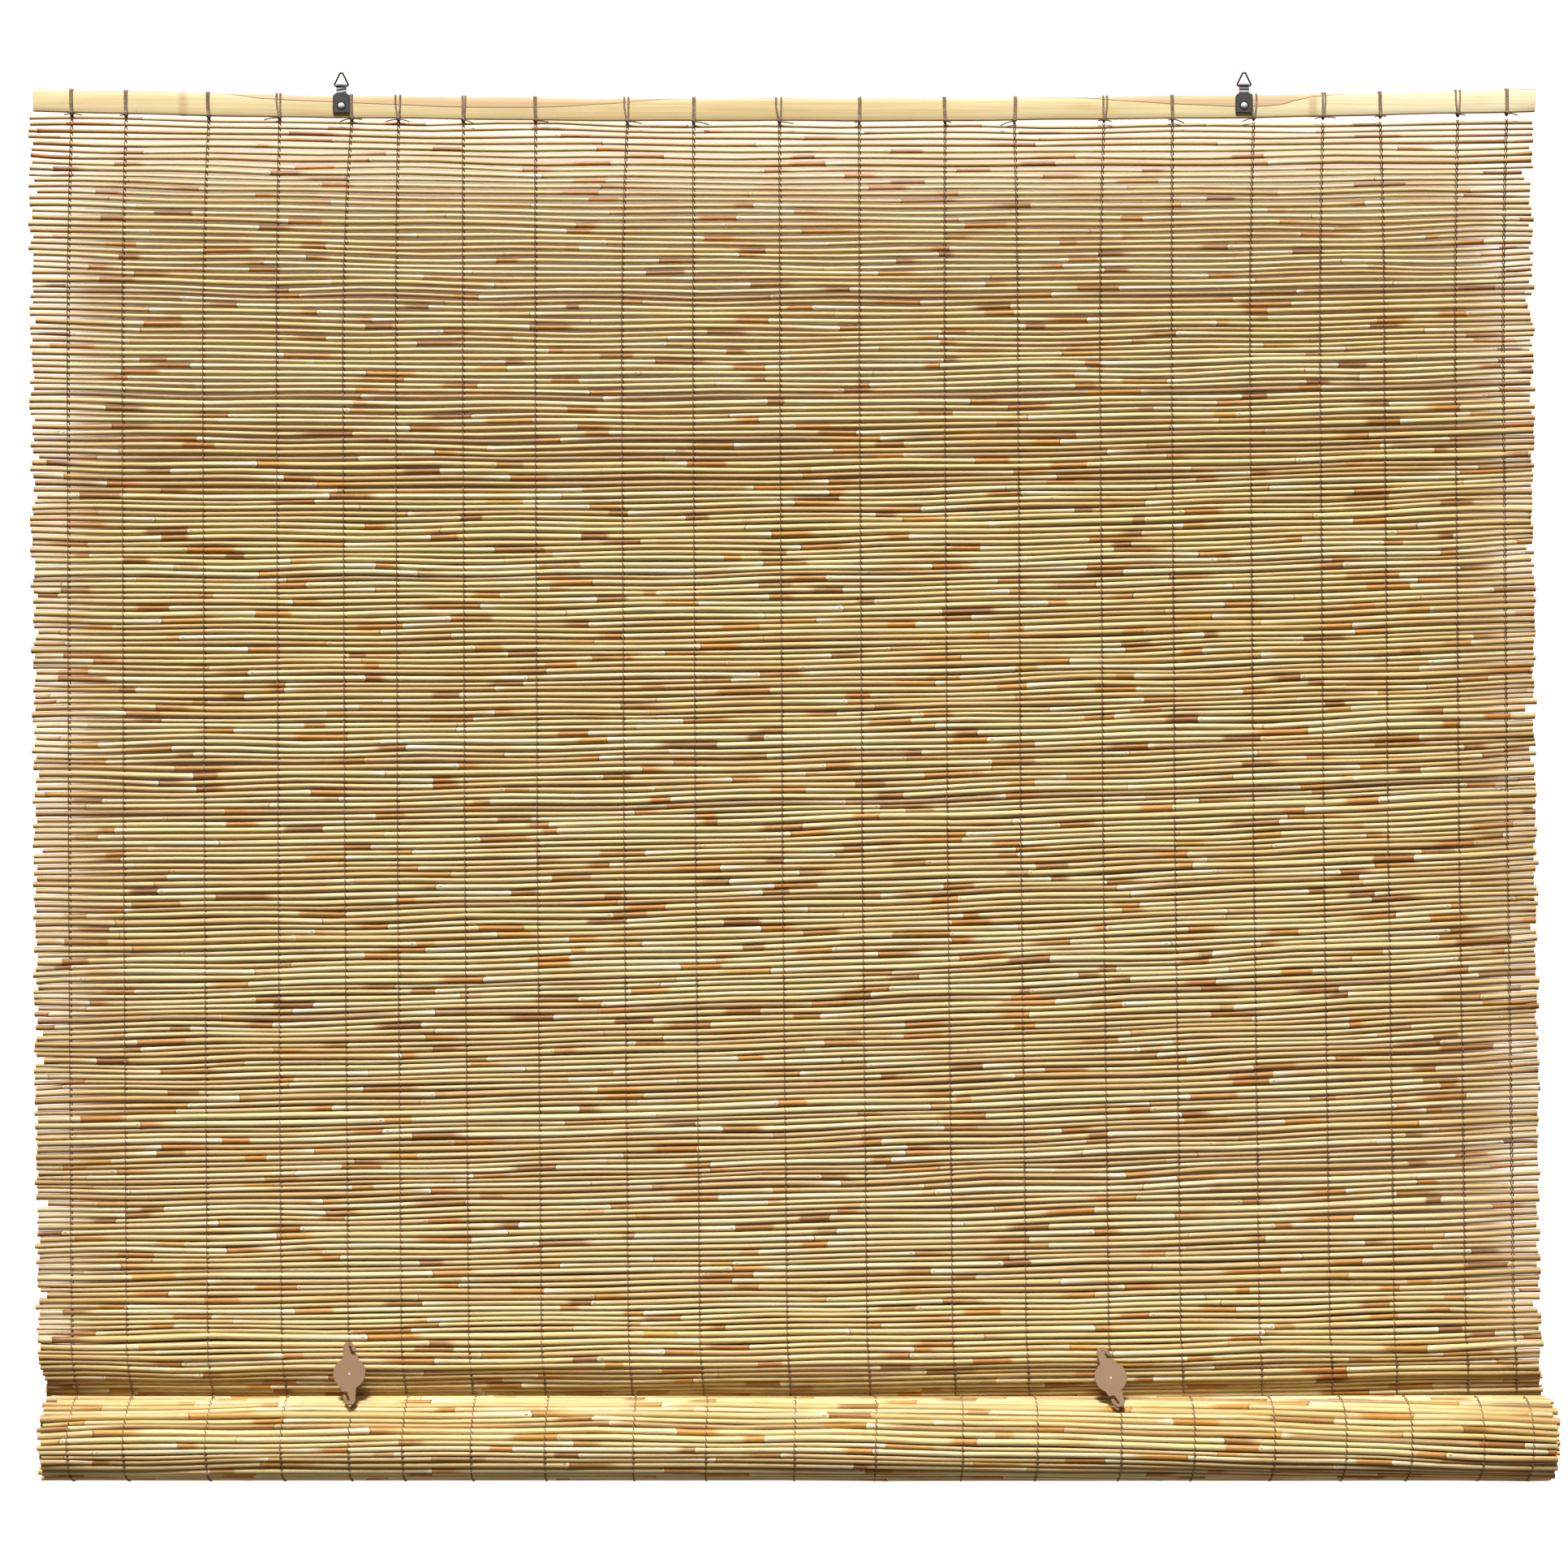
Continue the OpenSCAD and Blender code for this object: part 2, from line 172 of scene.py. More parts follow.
def row_lag(x, path):
    """How far back along the mat a row lies at a place across it."""
    across = x / MAT_HALF_WIDTH
    tilt, bow = np.interp(path, LAG_PATHS, LAG_TILT), np.interp(path, LAG_PATHS, LAG_BOW)
    return tilt * across + bow * across ** 2


top_spread = 1 + TOP_SPREAD * np.exp(-np.arange(MAT_ROWS) / TOP_SPREAD_ROWS)
row_pitches = top_spread * mat_length / top_spread.sum()
row_paths = list(np.cumsum(row_pitches) - row_pitches / 2)
roll_start = mat_length
for half, count in enumerate(HALF_TURN_ROWS):
    half_length = math.pi * (ROLL_R - half * TURN_PITCH / 2)
    row_paths += [roll_start + half_length * (row + 0.5) / count for row in range(count)]
    roll_start += half_length


# The reeds taper and lie butt to tip by turns, and the twine pulls each one up against the last, so a thick
# end pushes the rows below it down.
WAVE_COUNT = 9
WAVE_RISE = 0.00024
WAVES_ACROSS = (16, 48)
WAVES_DOWN = (35, 150)
wave_rng = random.Random(3)
waves = [
    (
        wave_rng.uniform(*WAVES_ACROSS),
        wave_rng.choice((-1, 1)) * wave_rng.uniform(*WAVES_DOWN),
        wave_rng.uniform(0, 2 * math.pi),
    )
    for _ in range(WAVE_COUNT)
]


def row_wave(x, path):
    """How far the reeds' own bends carry a row aside, much alike in the rows next to it."""
    return WAVE_RISE * sum(np.sin(across * x + down * path + phase) for across, down, phase in waves)


STATIONS = np.linspace(-MAT_HALF_WIDTH, MAT_HALF_WIDTH, 9)
PUSH_KEPT = 0.86
GIRTH_SPREAD, THINNEST, THICKEST = 0.12, 0.68, 1.17
BUTT_GIRTH, TAPER = 1.1, 0.22
NODE_GIRTHS = (0.97, 1.03)
NODE_SHIFT, NODE_DEPTH, MIDDLE_SHIFT = 0.00014, 0.0003, 0.0002
END_SPREAD = 0.0045
SHORT_REEDS, SHORT_BY = 0.05, (0.003, 0.008)
FIRST_SHARES = (0.1, 0.95)
LEAST_LAST = 0.01
row_push, row_extra = {}, {}


def cut_short(rng):
    """How far short of the mat's edge a reed ends. A few are much shorter than the rest."""
    short = rng.uniform(0, END_SPREAD)
    if rng.random() < SHORT_REEDS:
        short += rng.uniform(*SHORT_BY)
    return short


def lay_stems(name, numbers, rng, mean_r, internode_range):
    """One mesh of reeds, a chain of internodes for each row, with the place along the stem as attributes."""
    spans, ends = [], []
    push = row_push.get(numbers[0] - 1, 0 * STATIONS)
    last_extra = row_extra.get(numbers[0] - 1, 0 * STATIONS)
    for number in numbers:
        path = row_paths[number]
        drift = np.interp(path, DRIFT_PATHS, DRIFT)
        left = -MAT_HALF_WIDTH + drift + cut_short(rng)
        right = MAT_HALF_WIDTH + drift - cut_short(rng)
        radius = mean_r(path) * min(max(rng.gauss(1, GIRTH_SPREAD), THINNEST), THICKEST)
        butt_left = rng.random() < 0.5
        from_butt = (STATIONS / MAT_HALF_WIDTH * (1 if butt_left else -1) + 1) / 2
        extra = radius * (BUTT_GIRTH - TAPER * from_butt) - mean_r(path)
        push = PUSH_KEPT * push + last_extra + extra
        last_extra = row_extra[number] = extra
        row_push[number] = push
        identity = rng.random() * 0.5 + (0.5 if butt_left else 0)
        whole = rng.uniform(*internode_range)
        places, shares = [left], [rng.uniform(*FIRST_SHARES)]
        x = left + whole * (1 - shares[0])
        while x < right - LEAST_LAST:
            places.append(x)
            shares.append(float(len(places) - 1))
            whole = rng.uniform(*internode_range)
            x += whole
        places.append(right)
        shares.append(shares[-1] + (right - places[-2]) / whole if len(places) > 2 else 0.9)
        knots = []
        for x, share in zip(places, shares):
            along = (x - left) / (right - left)
            taper = BUTT_GIRTH - TAPER * (along if butt_left else 1 - along)
            pushed = path - row_lag(x, path) + np.interp(x, STATIONS, push)
            knots.append((
                x, pushed + rng.gauss(0, NODE_SHIFT), rng.gauss(0, NODE_DEPTH),
                radius * taper * rng.uniform(*NODE_GIRTHS), share,
            ))
        for first, second in zip(knots, knots[1:]):
            spans.append((*first, *second, identity, rng.gauss(0, MIDDLE_SHIFT)))
        ends += [(*knots[0], identity, -1), (*knots[-1], identity, 1)]
    spans, ends = np.array(spans), np.array(ends)

    t = internode_points[:, 0] + 0.5
    x, path, depth, radius, share = (
        spans[:, k:k + 1] * (1 - t) + spans[:, k + 5:k + 6] * t for k in range(5)
    )
    path = path + spans[:, 11:12] * 4 * t * (1 - t) + row_wave(x, path)
    y, z, face_y, face_z = mat_point(path)
    stem_points = np.stack([
        x,
        y + face_y * depth + radius * internode_points[:, 1],
        z + face_z * depth + radius * internode_points[:, 2],
    ], axis=2).reshape(-1, 3)
    stem_share = share.reshape(-1)
    stem_id = np.repeat(spans[:, 10], len(t))

    x, path, depth, radius, share, identity, side = (ends[:, k:k + 1] for k in range(7))
    y, z, face_y, face_z = mat_point(path + row_wave(x, path))
    end_points = np.stack([
        x + side * radius * butt_points[:, 0],
        y + face_y * depth + radius * butt_points[:, 1],
        z + face_z * depth + radius * butt_points[:, 2],
    ], axis=2).reshape(-1, 3)
    end_share = np.repeat(share.reshape(-1), len(butt_points))
    end_id = np.repeat(identity.reshape(-1), len(butt_points))

    faces = [[p + copy * len(t) for p in face] for copy in range(len(spans)) for face in internode_faces]
    for copy in range(len(ends)):
        start = len(stem_points) + copy * len(butt_points)
        faces += [[p + start for p in (face if ends[copy, 6] > 0 else face[::-1])] for face in butt_faces]
    mesh = bpy.data.meshes.new(name)
    mesh.from_pydata(np.concatenate([stem_points, end_points]).tolist(), [], faces)
    for label, values in (("along", [stem_share, end_share]), ("stem", [stem_id, end_id])):
        attribute = mesh.attributes.new(label, "FLOAT", "POINT")
        attribute.data.foreach_set("value", np.concatenate(values).astype(np.float32))
    piece = bpy.data.objects.new(name, mesh)
    bpy.context.collection.objects.link(piece)
    start_piece()
    bpy.context.view_layer.objects.active = piece
    piece.select_set(True)
    bpy.ops.object.mode_set(mode="EDIT")
    bpy.ops.mesh.select_all(action="SELECT")
    bpy.ops.mesh.remove_doubles(threshold=DOUBLE_GAP)
    bpy.ops.mesh.normals_make_consistent(inside=False)
    bpy.ops.object.mode_set(mode="OBJECT")
    bpy.ops.object.shade_smooth_by_angle(angle=math.radians(50))
    return piece


def add_node(tree, kind, inputs=None, **settings):
    """Adds a shader node. An input is a value, or a socket to link from."""
    node = tree.nodes.new(kind)
    for key, value in settings.items():
        setattr(node, key, value)
    for key, value in (inputs or {}).items():
        if isinstance(value, bpy.types.NodeSocket):
            tree.links.new(value, node.inputs[key])
        else:
            node.inputs[key].default_value = value
    return node


def maths(tree, operation, *values):
    """A Math node's result."""
    return add_node(tree, "ShaderNodeMath", dict(enumerate(values)), operation=operation).outputs[0]


def fade(tree, value, low, high):
    """A soft step from 0 at low to 1 at high."""
    limits = {"Value": value, "From Min": low, "From Max": high}
    return add_node(tree, "ShaderNodeMapRange", limits, interpolation_type="SMOOTHSTEP").outputs[0]


def squared(tree, value):
    """A value times itself."""
    return maths(tree, "MULTIPLY", value, value)


def object_axes(tree):
    """The X, Y and Z of the place on the piece."""
    spot = add_node(tree, "ShaderNodeTexCoord").outputs["Object"]
    return add_node(tree, "ShaderNodeSeparateXYZ", {0: spot}).outputs


def tint(tree, factor, first, second, blend="MIX"):
    """A mix of two colours."""
    colours = {0: factor, 6: first, 7: second}
    return add_node(tree, "ShaderNodeMix", colours, data_type="RGBA", blend_type=blend).outputs[2]


def ramp(tree, factor, stops):
    """A colour ramp through (place, colour) stops."""
    node = add_node(tree, "ShaderNodeValToRGB", {"Fac": factor})
    points = node.color_ramp.elements
    while len(points) < len(stops):
        points.new(1)
    for point, (place, colour) in zip(points, stops):
        point.position, point.color = place, colour
    return node.outputs[0]


def new_material(name):
    """A node material with an empty Principled shader: the material, its tree and the shader."""
    material = bpy.data.materials.new(name)
    material.use_nodes = True
    return material, material.node_tree, material.node_tree.nodes["Principled BSDF"]


def new_group(name, inputs, outputs):
    """A shader node group with named sockets: the tree, its input node and its output node."""
    tree = bpy.data.node_groups.new(name, "ShaderNodeTree")
    for label, kind in inputs:
        tree.interface.new_socket(label, in_out="INPUT", socket_type=kind)
    for label, kind in outputs:
        tree.interface.new_socket(label, in_out="OUTPUT", socket_type=kind)
    return tree, tree.nodes.new("NodeGroupInput"), tree.nodes.new("NodeGroupOutput")


# Long fibres run the length of every stem and of the slat, as fine streaks and a slight relief.
fibre, fibre_in, fibre_out = new_group(
    "Plant fibre", [("Along", "NodeSocketFloat"), ("Across", "NodeSocketFloat")],
    [("Streak", "NodeSocketFloat"), ("Blotch", "NodeSocketFloat")],
)
place = add_node(fibre, "ShaderNodeTexCoord").outputs["Object"]
stretch = add_node(fibre, "ShaderNodeCombineXYZ", {
    "X": fibre_in.outputs["Along"], "Y": fibre_in.outputs["Across"], "Z": fibre_in.outputs["Across"],
}).outputs[0]
streaks = add_node(fibre, "ShaderNodeVectorMath", {0: place, 1: stretch}, operation="MULTIPLY").outputs[0]
streak = add_node(fibre, "ShaderNodeTexNoise", {"Vector": streaks, "Scale": 1.0, "Detail": 3.0}).outputs[0]
BLOTCH_STRETCH = (14.0, 60.0, 60.0)
blotches = add_node(fibre, "ShaderNodeVectorMath", {
    0: place, 1: BLOTCH_STRETCH,
}, operation="MULTIPLY").outputs[0]
blotch = add_node(fibre, "ShaderNodeTexNoise", {"Vector": blotches, "Scale": 1.0, "Detail": 2.0}).outputs[0]
fibre.links.new(streak, fibre_out.inputs["Streak"])
fibre.links.new(blotch, fibre_out.inputs["Blotch"])


def add_fibre(tree, along, across):
    """Places the fibre group in a material."""
    node = add_node(tree, "ShaderNodeGroup", node_tree=fibre)
    node.inputs["Along"].default_value = along
    node.inputs["Across"].default_value = across
    return node.outputs["Streak"], node.outputs["Blotch"]


# Reed skin: straw yellow and glossy. Beside each node it is bleached on the one side, where the sheath kept
# it from the sun, and stained brown on the other, with a dark line at the node itself.
reed_skin, tree, shader = new_material("reed_skin")
TIP = 0.006
along = add_node(tree, "ShaderNodeAttribute", attribute_name="along").outputs["Fac"]
stem = add_node(tree, "ShaderNodeAttribute", attribute_name="stem").outputs["Fac"]
turned = maths(tree, "GREATER_THAN", stem, 0.5)
normal = add_node(tree, "ShaderNodeTexCoord").outputs["Normal"]
facing = add_node(tree, "ShaderNodeSeparateXYZ", {0: normal}).outputs["Z"]
edge = squared(tree, facing)
along = maths(tree, "MULTIPLY_ADD", edge, maths(tree, "MULTIPLY_ADD", turned, 2 * TIP, -TIP), along)
number = maths(tree, "FLOOR", along)
between = maths(tree, "ABSOLUTE", maths(tree, "SUBTRACT", maths(tree, "FRACT", along), turned))
stem_seed = maths(tree, "MULTIPLY", stem, 977.0)
seed = add_node(tree, "ShaderNodeCombineXYZ", {"X": number, "Y": stem_seed}).outputs[0]
chance = add_node(tree, "ShaderNodeSeparateColor", {
    0: add_node(tree, "ShaderNodeTexWhiteNoise", {"Vector": seed}, noise_dimensions="3D").outputs["Color"],
}).outputs
own_seed = maths(tree, "MULTIPLY", stem, 331.0)
own = add_node(tree, "ShaderNodeTexWhiteNoise", {"W": own_seed}, noise_dimensions="1D")
streak, blotch = add_fibre(tree, 22.0, 900.0)

straw = ramp(tree, own.outputs["Value"], [
    (0.0, (0.33, 0.20, 0.08, 1)), (0.07, (0.56, 0.37, 0.13, 1)), (0.35, (0.70, 0.52, 0.215, 1)),
    (0.7, (0.77, 0.61, 0.275, 1)), (1.0, (0.84, 0.72, 0.40, 1)),
])
straw = tint(tree, maths(tree, "MULTIPLY", fade(tree, blotch, 0.48, 0.75), 0.8), straw, (0.62, 0.38, 0.13, 1))
bleach_reach = maths(tree, "MULTIPLY_ADD", chance[0], 0.32, 0.04)
bleached = maths(tree, "SMOOTH_MIN", maths(tree, "DIVIDE", between, bleach_reach), 1.0, 0.4)
bleached = maths(tree, "POWER", maths(tree, "SUBTRACT", 1.0, bleached), 1.4)
bleached = maths(tree, "MULTIPLY", bleached, fade(tree, chance[2], 0.1, 0.75))
skin = tint(tree, bleached, straw, (0.88, 0.78, 0.52, 1))
stain_reach = maths(tree, "MULTIPLY_ADD", chance[1], 0.17, 0.02)
stain_start = maths(tree, "SUBTRACT", 1.0, stain_reach)
stain_soft = maths(tree, "MULTIPLY_ADD", chance[0], 0.05, 0.003)
stain_low = maths(tree, "SUBTRACT", stain_start, stain_soft)
stain_high = maths(tree, "ADD", stain_start, stain_soft)
stained = fade(tree, between, stain_low, stain_high)
stained = maths(tree, "MULTIPLY", stained, fade(tree, chance[1], 0.1, 0.45))
stain = ramp(tree, chance[2], [
    (0.0, (0.62, 0.28, 0.04, 1)), (0.35, (0.50, 0.20, 0.025, 1)), (0.6, (0.37, 0.17, 0.02, 1)),
    (0.8, (0.27, 0.10, 0.015, 1)), (1.0, (0.66, 0.38, 0.07, 1)),
])
skin = tint(tree, maths(tree, "MULTIPLY", stained, 0.95), skin, stain)
node_line = maths(tree, "MULTIPLY", fade(tree, between, 0.9925, 0.997), fade(tree, chance[0], 0.1, 0.8))
skin = tint(tree, maths(tree, "MULTIPLY", node_line, 0.7), skin, (0.13, 0.06, 0.02, 1))
scar_off = maths(tree, "ABSOLUTE", maths(tree, "SUBTRACT", between, 0.016))
scar = maths(tree, "SUBTRACT", 1.0, fade(tree, scar_off, 0.003, 0.006))
scar_high = maths(tree, "ABSOLUTE", maths(tree, "SUBTRACT", facing, 0.25))
scar = maths(tree, "MULTIPLY", scar, maths(tree, "SUBTRACT", 1.0, fade(tree, scar_high, 0.1, 0.3)))
scar = maths(tree, "MULTIPLY", scar, maths(tree, "GREATER_THAN", chance[0], 0.78))
skin = tint(tree, maths(tree, "MULTIPLY", scar, 0.8), skin, (0.10, 0.05, 0.02, 1))
place = object_axes(tree)
# The reeds are greyer towards both side ends of the mat.
greyer_ends = fade(tree, maths(tree, "ABSOLUTE", place["X"]), 0.5, 0.61)
skin = tint(tree, maths(tree, "MULTIPLY", greyer_ends, 0.7), skin, (0.72, 0.62, 0.50, 1), "MULTIPLY")
# Painted shade: the reeds grow darker lower down the hanging mat, as the light falls off there, but not on
# the bight or the roll.
depth = maths(tree, "MULTIPLY", place["Z"], -1.0)
painted_low_shade = maths(tree, "SUBTRACT", fade(tree, depth, 0.3, 0.9), fade(tree, depth, 0.96, 1.04))
skin = tint(tree, painted_low_shade, skin, (0.88, 0.87, 0.9, 1), "MULTIPLY")
streaked = ramp(tree, streak, [(0.3, (0.5, 0.42, 0.31, 1)), (0.58, (1, 1, 1, 1))])
skin = tint(tree, 0.55, skin, streaked, "MULTIPLY")
tree.links.new(skin, shader.inputs["Base Color"])
shader.inputs["Specular IOR Level"].default_value = 0.35
roughness = add_node(tree, "ShaderNodeMapRange", {"Value": streak, "To Min": 0.34, "To Max": 0.58}).outputs[0]
tree.links.new(roughness, shader.inputs["Roughness"])
relief = add_node(tree, "ShaderNodeBump", {"Height": streak, "Strength": 0.25, "Distance": 0.0004}).outputs[0]
tree.links.new(relief, shader.inputs["Normal"])


HANGING_INTERNODES = (0.12, 0.26)
HANGING_PATHS = [0, 0.12, 0.27, 0.42, 1.1]
HANGING_RADII = [0.00165, 0.0018, 0.00196, 0.00215, 0.00217]


def hanging_r(path):
    """Mean radius of the reeds of the mat: the upper rows are thinner."""
    return float(np.interp(path, HANGING_PATHS, HANGING_RADII))


# Rolled right up, the upper rows still hang as they are, so they are laid as a piece of their own, apart from
# the rows below them.
CLEAR_ROWS = 1
ROLL_TRAVEL = max(j["range_m"][1] for j in frame["joints"] if j["name"] == "roll_lift")
first_bight_row = next(k for k in range(MAT_ROWS) if row_paths[k] >= DROP)
bight_rows = list(range(first_bight_row, MAT_ROWS))
rows_left_up = sum(path < row_paths[first_bight_row] - ROLL_TRAVEL for path in row_paths) - CLEAR_ROWS
upper_rows = list(range(rows_left_up))
lower_rows = list(range(rows_left_up, first_bight_row))


def gather(piece):
    """Gives a piece of the lower rows a mesh of its own."""
    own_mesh(piece)


rng = random.Random(41)
for name, numbers in (("upper_reed_rows", upper_rows), ("reed_rows", lower_rows)):
    mat = lay_stems(name, numbers, rng, hanging_r, HANGING_INTERNODES)
    mat.data.materials.append(reed_skin)
    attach(mat, "rail")
    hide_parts("reed_mat")
gather(mat)

bight = lay_stems("bight_rows", bight_rows, rng, hanging_r, HANGING_INTERNODES)
bight.data.materials.append(reed_skin)
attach(bight, "clips")

# Roll: the lower part of the same mat, wound on itself. The outer turn shows every reed, the inner turns only
# their butts at the roll's two ends.
OUTER_REED_R = 0.00225
OUTER_INTERNODES = (0.13, 0.28)
INNER_REED_R = 0.0019
INNER_INTERNODES = (0.3, 0.4)
outer_turn = list(range(MAT_ROWS, MAT_ROWS + sum(HALF_TURN_ROWS[:2])))
inner_turns = list(range(outer_turn[-1] + 1, len(row_paths)))


def outer_r(path):
    """Mean radius of the thicker reeds round the outside of the roll."""
    return OUTER_REED_R


roll = lay_stems("roll_rows", outer_turn, rng, outer_r, OUTER_INTERNODES)
roll.data.materials.append(reed_skin)
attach(roll, "roll")
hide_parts("reed_roll")
core = lay_stems("roll_core_rows", inner_turns, rng, lambda path: INNER_REED_R, INNER_INTERNODES)
core.data.materials.append(reed_skin)
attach(core, "roll")

# Head slat: one strip split from a bamboo culm, skin side out, with two knuckles. Drying has bowed it, so its
# ends stand higher. A thin layer of skin has split away along the upper edge and left a smooth pinkish band.
RAIL_LENGTH = 1.216
RAIL_HEIGHT = 0.018
RAIL_DEPTH = 0.004
RAIL_BOW = 0.0075
RAIL_CROWN = 0.0006
RAIL_EDGE_R = 0.0008
KNUCKLE_SHARES = [-0.4, 0.352]
KNUCKLE_RISE = 0.0004
KNUCKLE_SWELL = 0.0003
KNUCKLE_REACH = 0.004
KNUCKLE_CUTS = [-1.6, -0.8, -0.3, 0, 0.3, 0.8, 1.6]
EDGE_WAVES = [(0.00025, 23, 1), (0.0002, 61, 2)]
SPLIT_COURSE = [
    (0.113, 1.0), (0.153, 0.79), (0.245, 0.60), (0.30, 0.52), (0.38, 0.72), (0.455, 1.0), (0.67, 1.0),
    (0.725, 0.80), (0.78, 0.56), (0.815, 0.475), (0.84, 0.71), (0.893, 1.0),
]

rail_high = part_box("head_rail")[1].z
rail_mid_z = rail_high - RAIL_BOW - RAIL_HEIGHT / 2


def rail_rise(x):
    """Height of the bowed slat's middle above its lowest place."""
    return RAIL_BOW * (2 * x / RAIL_LENGTH) ** 2


start_piece()
bpy.ops.mesh.primitive_cube_add(size=1, location=(0, mat_y, 0))
slat = bpy.context.object
slat.name = "bamboo_slat"
slat.scale = (RAIL_LENGTH, RAIL_DEPTH, RAIL_HEIGHT)
bpy.ops.object.transform_apply(location=True, scale=True)
bpy.ops.object.mode_set(mode="EDIT")
cuts = list(np.linspace(-RAIL_LENGTH / 2, RAIL_LENGTH / 2, 62)[1:-1])
for share in KNUCKLE_SHARES:
    cuts += [share * RAIL_LENGTH + cut * KNUCKLE_REACH for cut in KNUCKLE_CUTS]
for cut in cuts:
    bpy.ops.mesh.select_all(action="SELECT")
    bpy.ops.mesh.bisect(plane_co=(cut, 0, 0), plane_no=(1, 0, 0))
for level in (-0.25, 0, 0.25):
    bpy.ops.mesh.select_all(action="SELECT")
    bpy.ops.mesh.bisect(plane_co=(0, 0, level * RAIL_HEIGHT), plane_no=(0, 0, 1))
bpy.ops.object.mode_set(mode="OBJECT")
for point in slat.data.vertices:
    level = 2 * point.co.z / RAIL_HEIGHT
    offs = [(point.co.x - share * RAIL_LENGTH) / KNUCKLE_REACH for share in KNUCKLE_SHARES]
    knuckle = sum(math.exp(-(off * 1.5) ** 2) for off in offs)
    if point.co.y < mat_y:
        point.co.y += RAIL_CROWN * level ** 2 - KNUCKLE_RISE * knuckle
    wave = sum(rise * math.sin(point.co.x * rate + turn * level) for rise, rate, turn in EDGE_WAVES)
    point.co.z += level * (wave + KNUCKLE_SWELL * knuckle) + rail_mid_z + rail_rise(point.co.x)
bevel = slat.modifiers.new("rounded edges", "BEVEL")
bevel.width, bevel.segments, bevel.angle_limit = RAIL_EDGE_R, 3, math.radians(50)
bpy.ops.object.modifier_apply(modifier=bevel.name)
bpy.ops.object.shade_smooth_by_angle(angle=math.radians(40))
level_map = slat.data.attributes.new("level", "FLOAT", "POINT")
level_map.data.foreach_set("value", [
    2 * (p.co.z - rail_mid_z - rail_rise(p.co.x)) / RAIL_HEIGHT for p in slat.data.vertices
])

bamboo, tree, shader = new_material("bamboo_skin")
streak, blotch = add_fibre(tree, 9.0, 700.0)
across = object_axes(tree)["X"]
length = add_node(tree, "ShaderNodeMapRange", {
    "Value": across, "From Min": -RAIL_LENGTH / 2, "From Max": RAIL_LENGTH / 2,
}).outputs[0]
level = add_node(tree, "ShaderNodeAttribute", attribute_name="level").outputs["Fac"]
height = maths(tree, "MULTIPLY_ADD", level, 0.5, 0.5)
skin = ramp(tree, length, [
    (0.0, (0.90, 0.73, 0.39, 1)), (0.25, (0.86, 0.69, 0.35, 1)), (0.5, (0.77, 0.59, 0.28, 1)),
    (0.78, (0.92, 0.77, 0.42, 1)), (0.9, (0.97, 0.87, 0.54, 1)),
])
skin = tint(tree, maths(tree, "MULTIPLY", fade(tree, blotch, 0.45, 0.8), 0.5), skin, (0.72, 0.52, 0.22, 1))
split = add_node(tree, "ShaderNodeFloatCurve", {"Value": length})
split_points = split.mapping.curves[0].points
split_points[0].location = (0.0, 1.0)
split_points[1].location = (1.0, 1.0)
for share, high in SPLIT_COURSE:
    split_points.new(share, high)
split.mapping.update()
above = maths(tree, "SUBTRACT", height, split.outputs[0])
peeled = fade(tree, above, 0.0, 0.03)
skin = tint(tree, maths(tree, "MULTIPLY", peeled, 0.7), skin, (0.72, 0.46, 0.24, 1))
crack = maths(tree, "SUBTRACT", 1.0, fade(tree, maths(tree, "ABSOLUTE", above), 0.012, 0.035))
skin = tint(tree, maths(tree, "MULTIPLY", crack, 0.75), skin, (0.20, 0.11, 0.05, 1))
knuckle = 0.0
for share in KNUCKLE_SHARES:
    off = maths(tree, "ABSOLUTE", maths(tree, "SUBTRACT", across, share * RAIL_LENGTH))
    knuckle = maths(tree, "ADD", knuckle, maths(tree, "SUBTRACT", 1.0, fade(tree, off, 0.001, 0.006)))
skin = tint(tree, maths(tree, "MULTIPLY", knuckle, 0.5), skin, (0.58, 0.37, 0.15, 1))
rim = fade(tree, maths(tree, "ABSOLUTE", level), 0.9, 1.0)
skin = tint(tree, maths(tree, "MULTIPLY", rim, 0.55), skin, (0.40, 0.25, 0.10, 1))
tick_place = add_node(tree, "ShaderNodeCombineXYZ", {
    "X": maths(tree, "MULTIPLY", across, 420.0), "Y": maths(tree, "MULTIPLY", level, 0.4),
}).outputs[0]
ticks = add_node(tree, "ShaderNodeTexNoise", {"Vector": tick_place, "Scale": 1.0}).outputs[0]
patch_place = add_node(tree, "ShaderNodeCombineXYZ", {"X": maths(tree, "MULTIPLY", across, 14.0)}).outputs[0]
patches = add_node(tree, "ShaderNodeTexNoise", {"Vector": patch_place, "Scale": 1.0}).outputs[0]
ticks = maths(tree, "MULTIPLY", fade(tree, ticks, 0.62, 0.7), fade(tree, patches, 0.5, 0.62))
skin = tint(tree, maths(tree, "MULTIPLY", ticks, 0.22), skin, (0.36, 0.23, 0.10, 1))
streaked = ramp(tree, streak, [(0.3, (0.6, 0.52, 0.42, 1)), (0.6, (1, 1, 1, 1))])
skin = tint(tree, 0.3, skin, streaked, "MULTIPLY")
tree.links.new(skin, shader.inputs["Base Color"])
roughness = add_node(tree, "ShaderNodeMapRange", {"Value": streak, "To Min": 0.38, "To Max": 0.6}).outputs[0]
tree.links.new(roughness, shader.inputs["Roughness"])
relief = add_node(tree, "ShaderNodeBump", {
    "Height": maths(tree, "SUBTRACT", streak, crack), "Strength": 0.3, "Distance": 0.0004,
}).outputs[0]
tree.links.new(relief, shader.inputs["Normal"])
slat.data.materials.append(bamboo)
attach(slat, "rail")
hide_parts("head_rail")

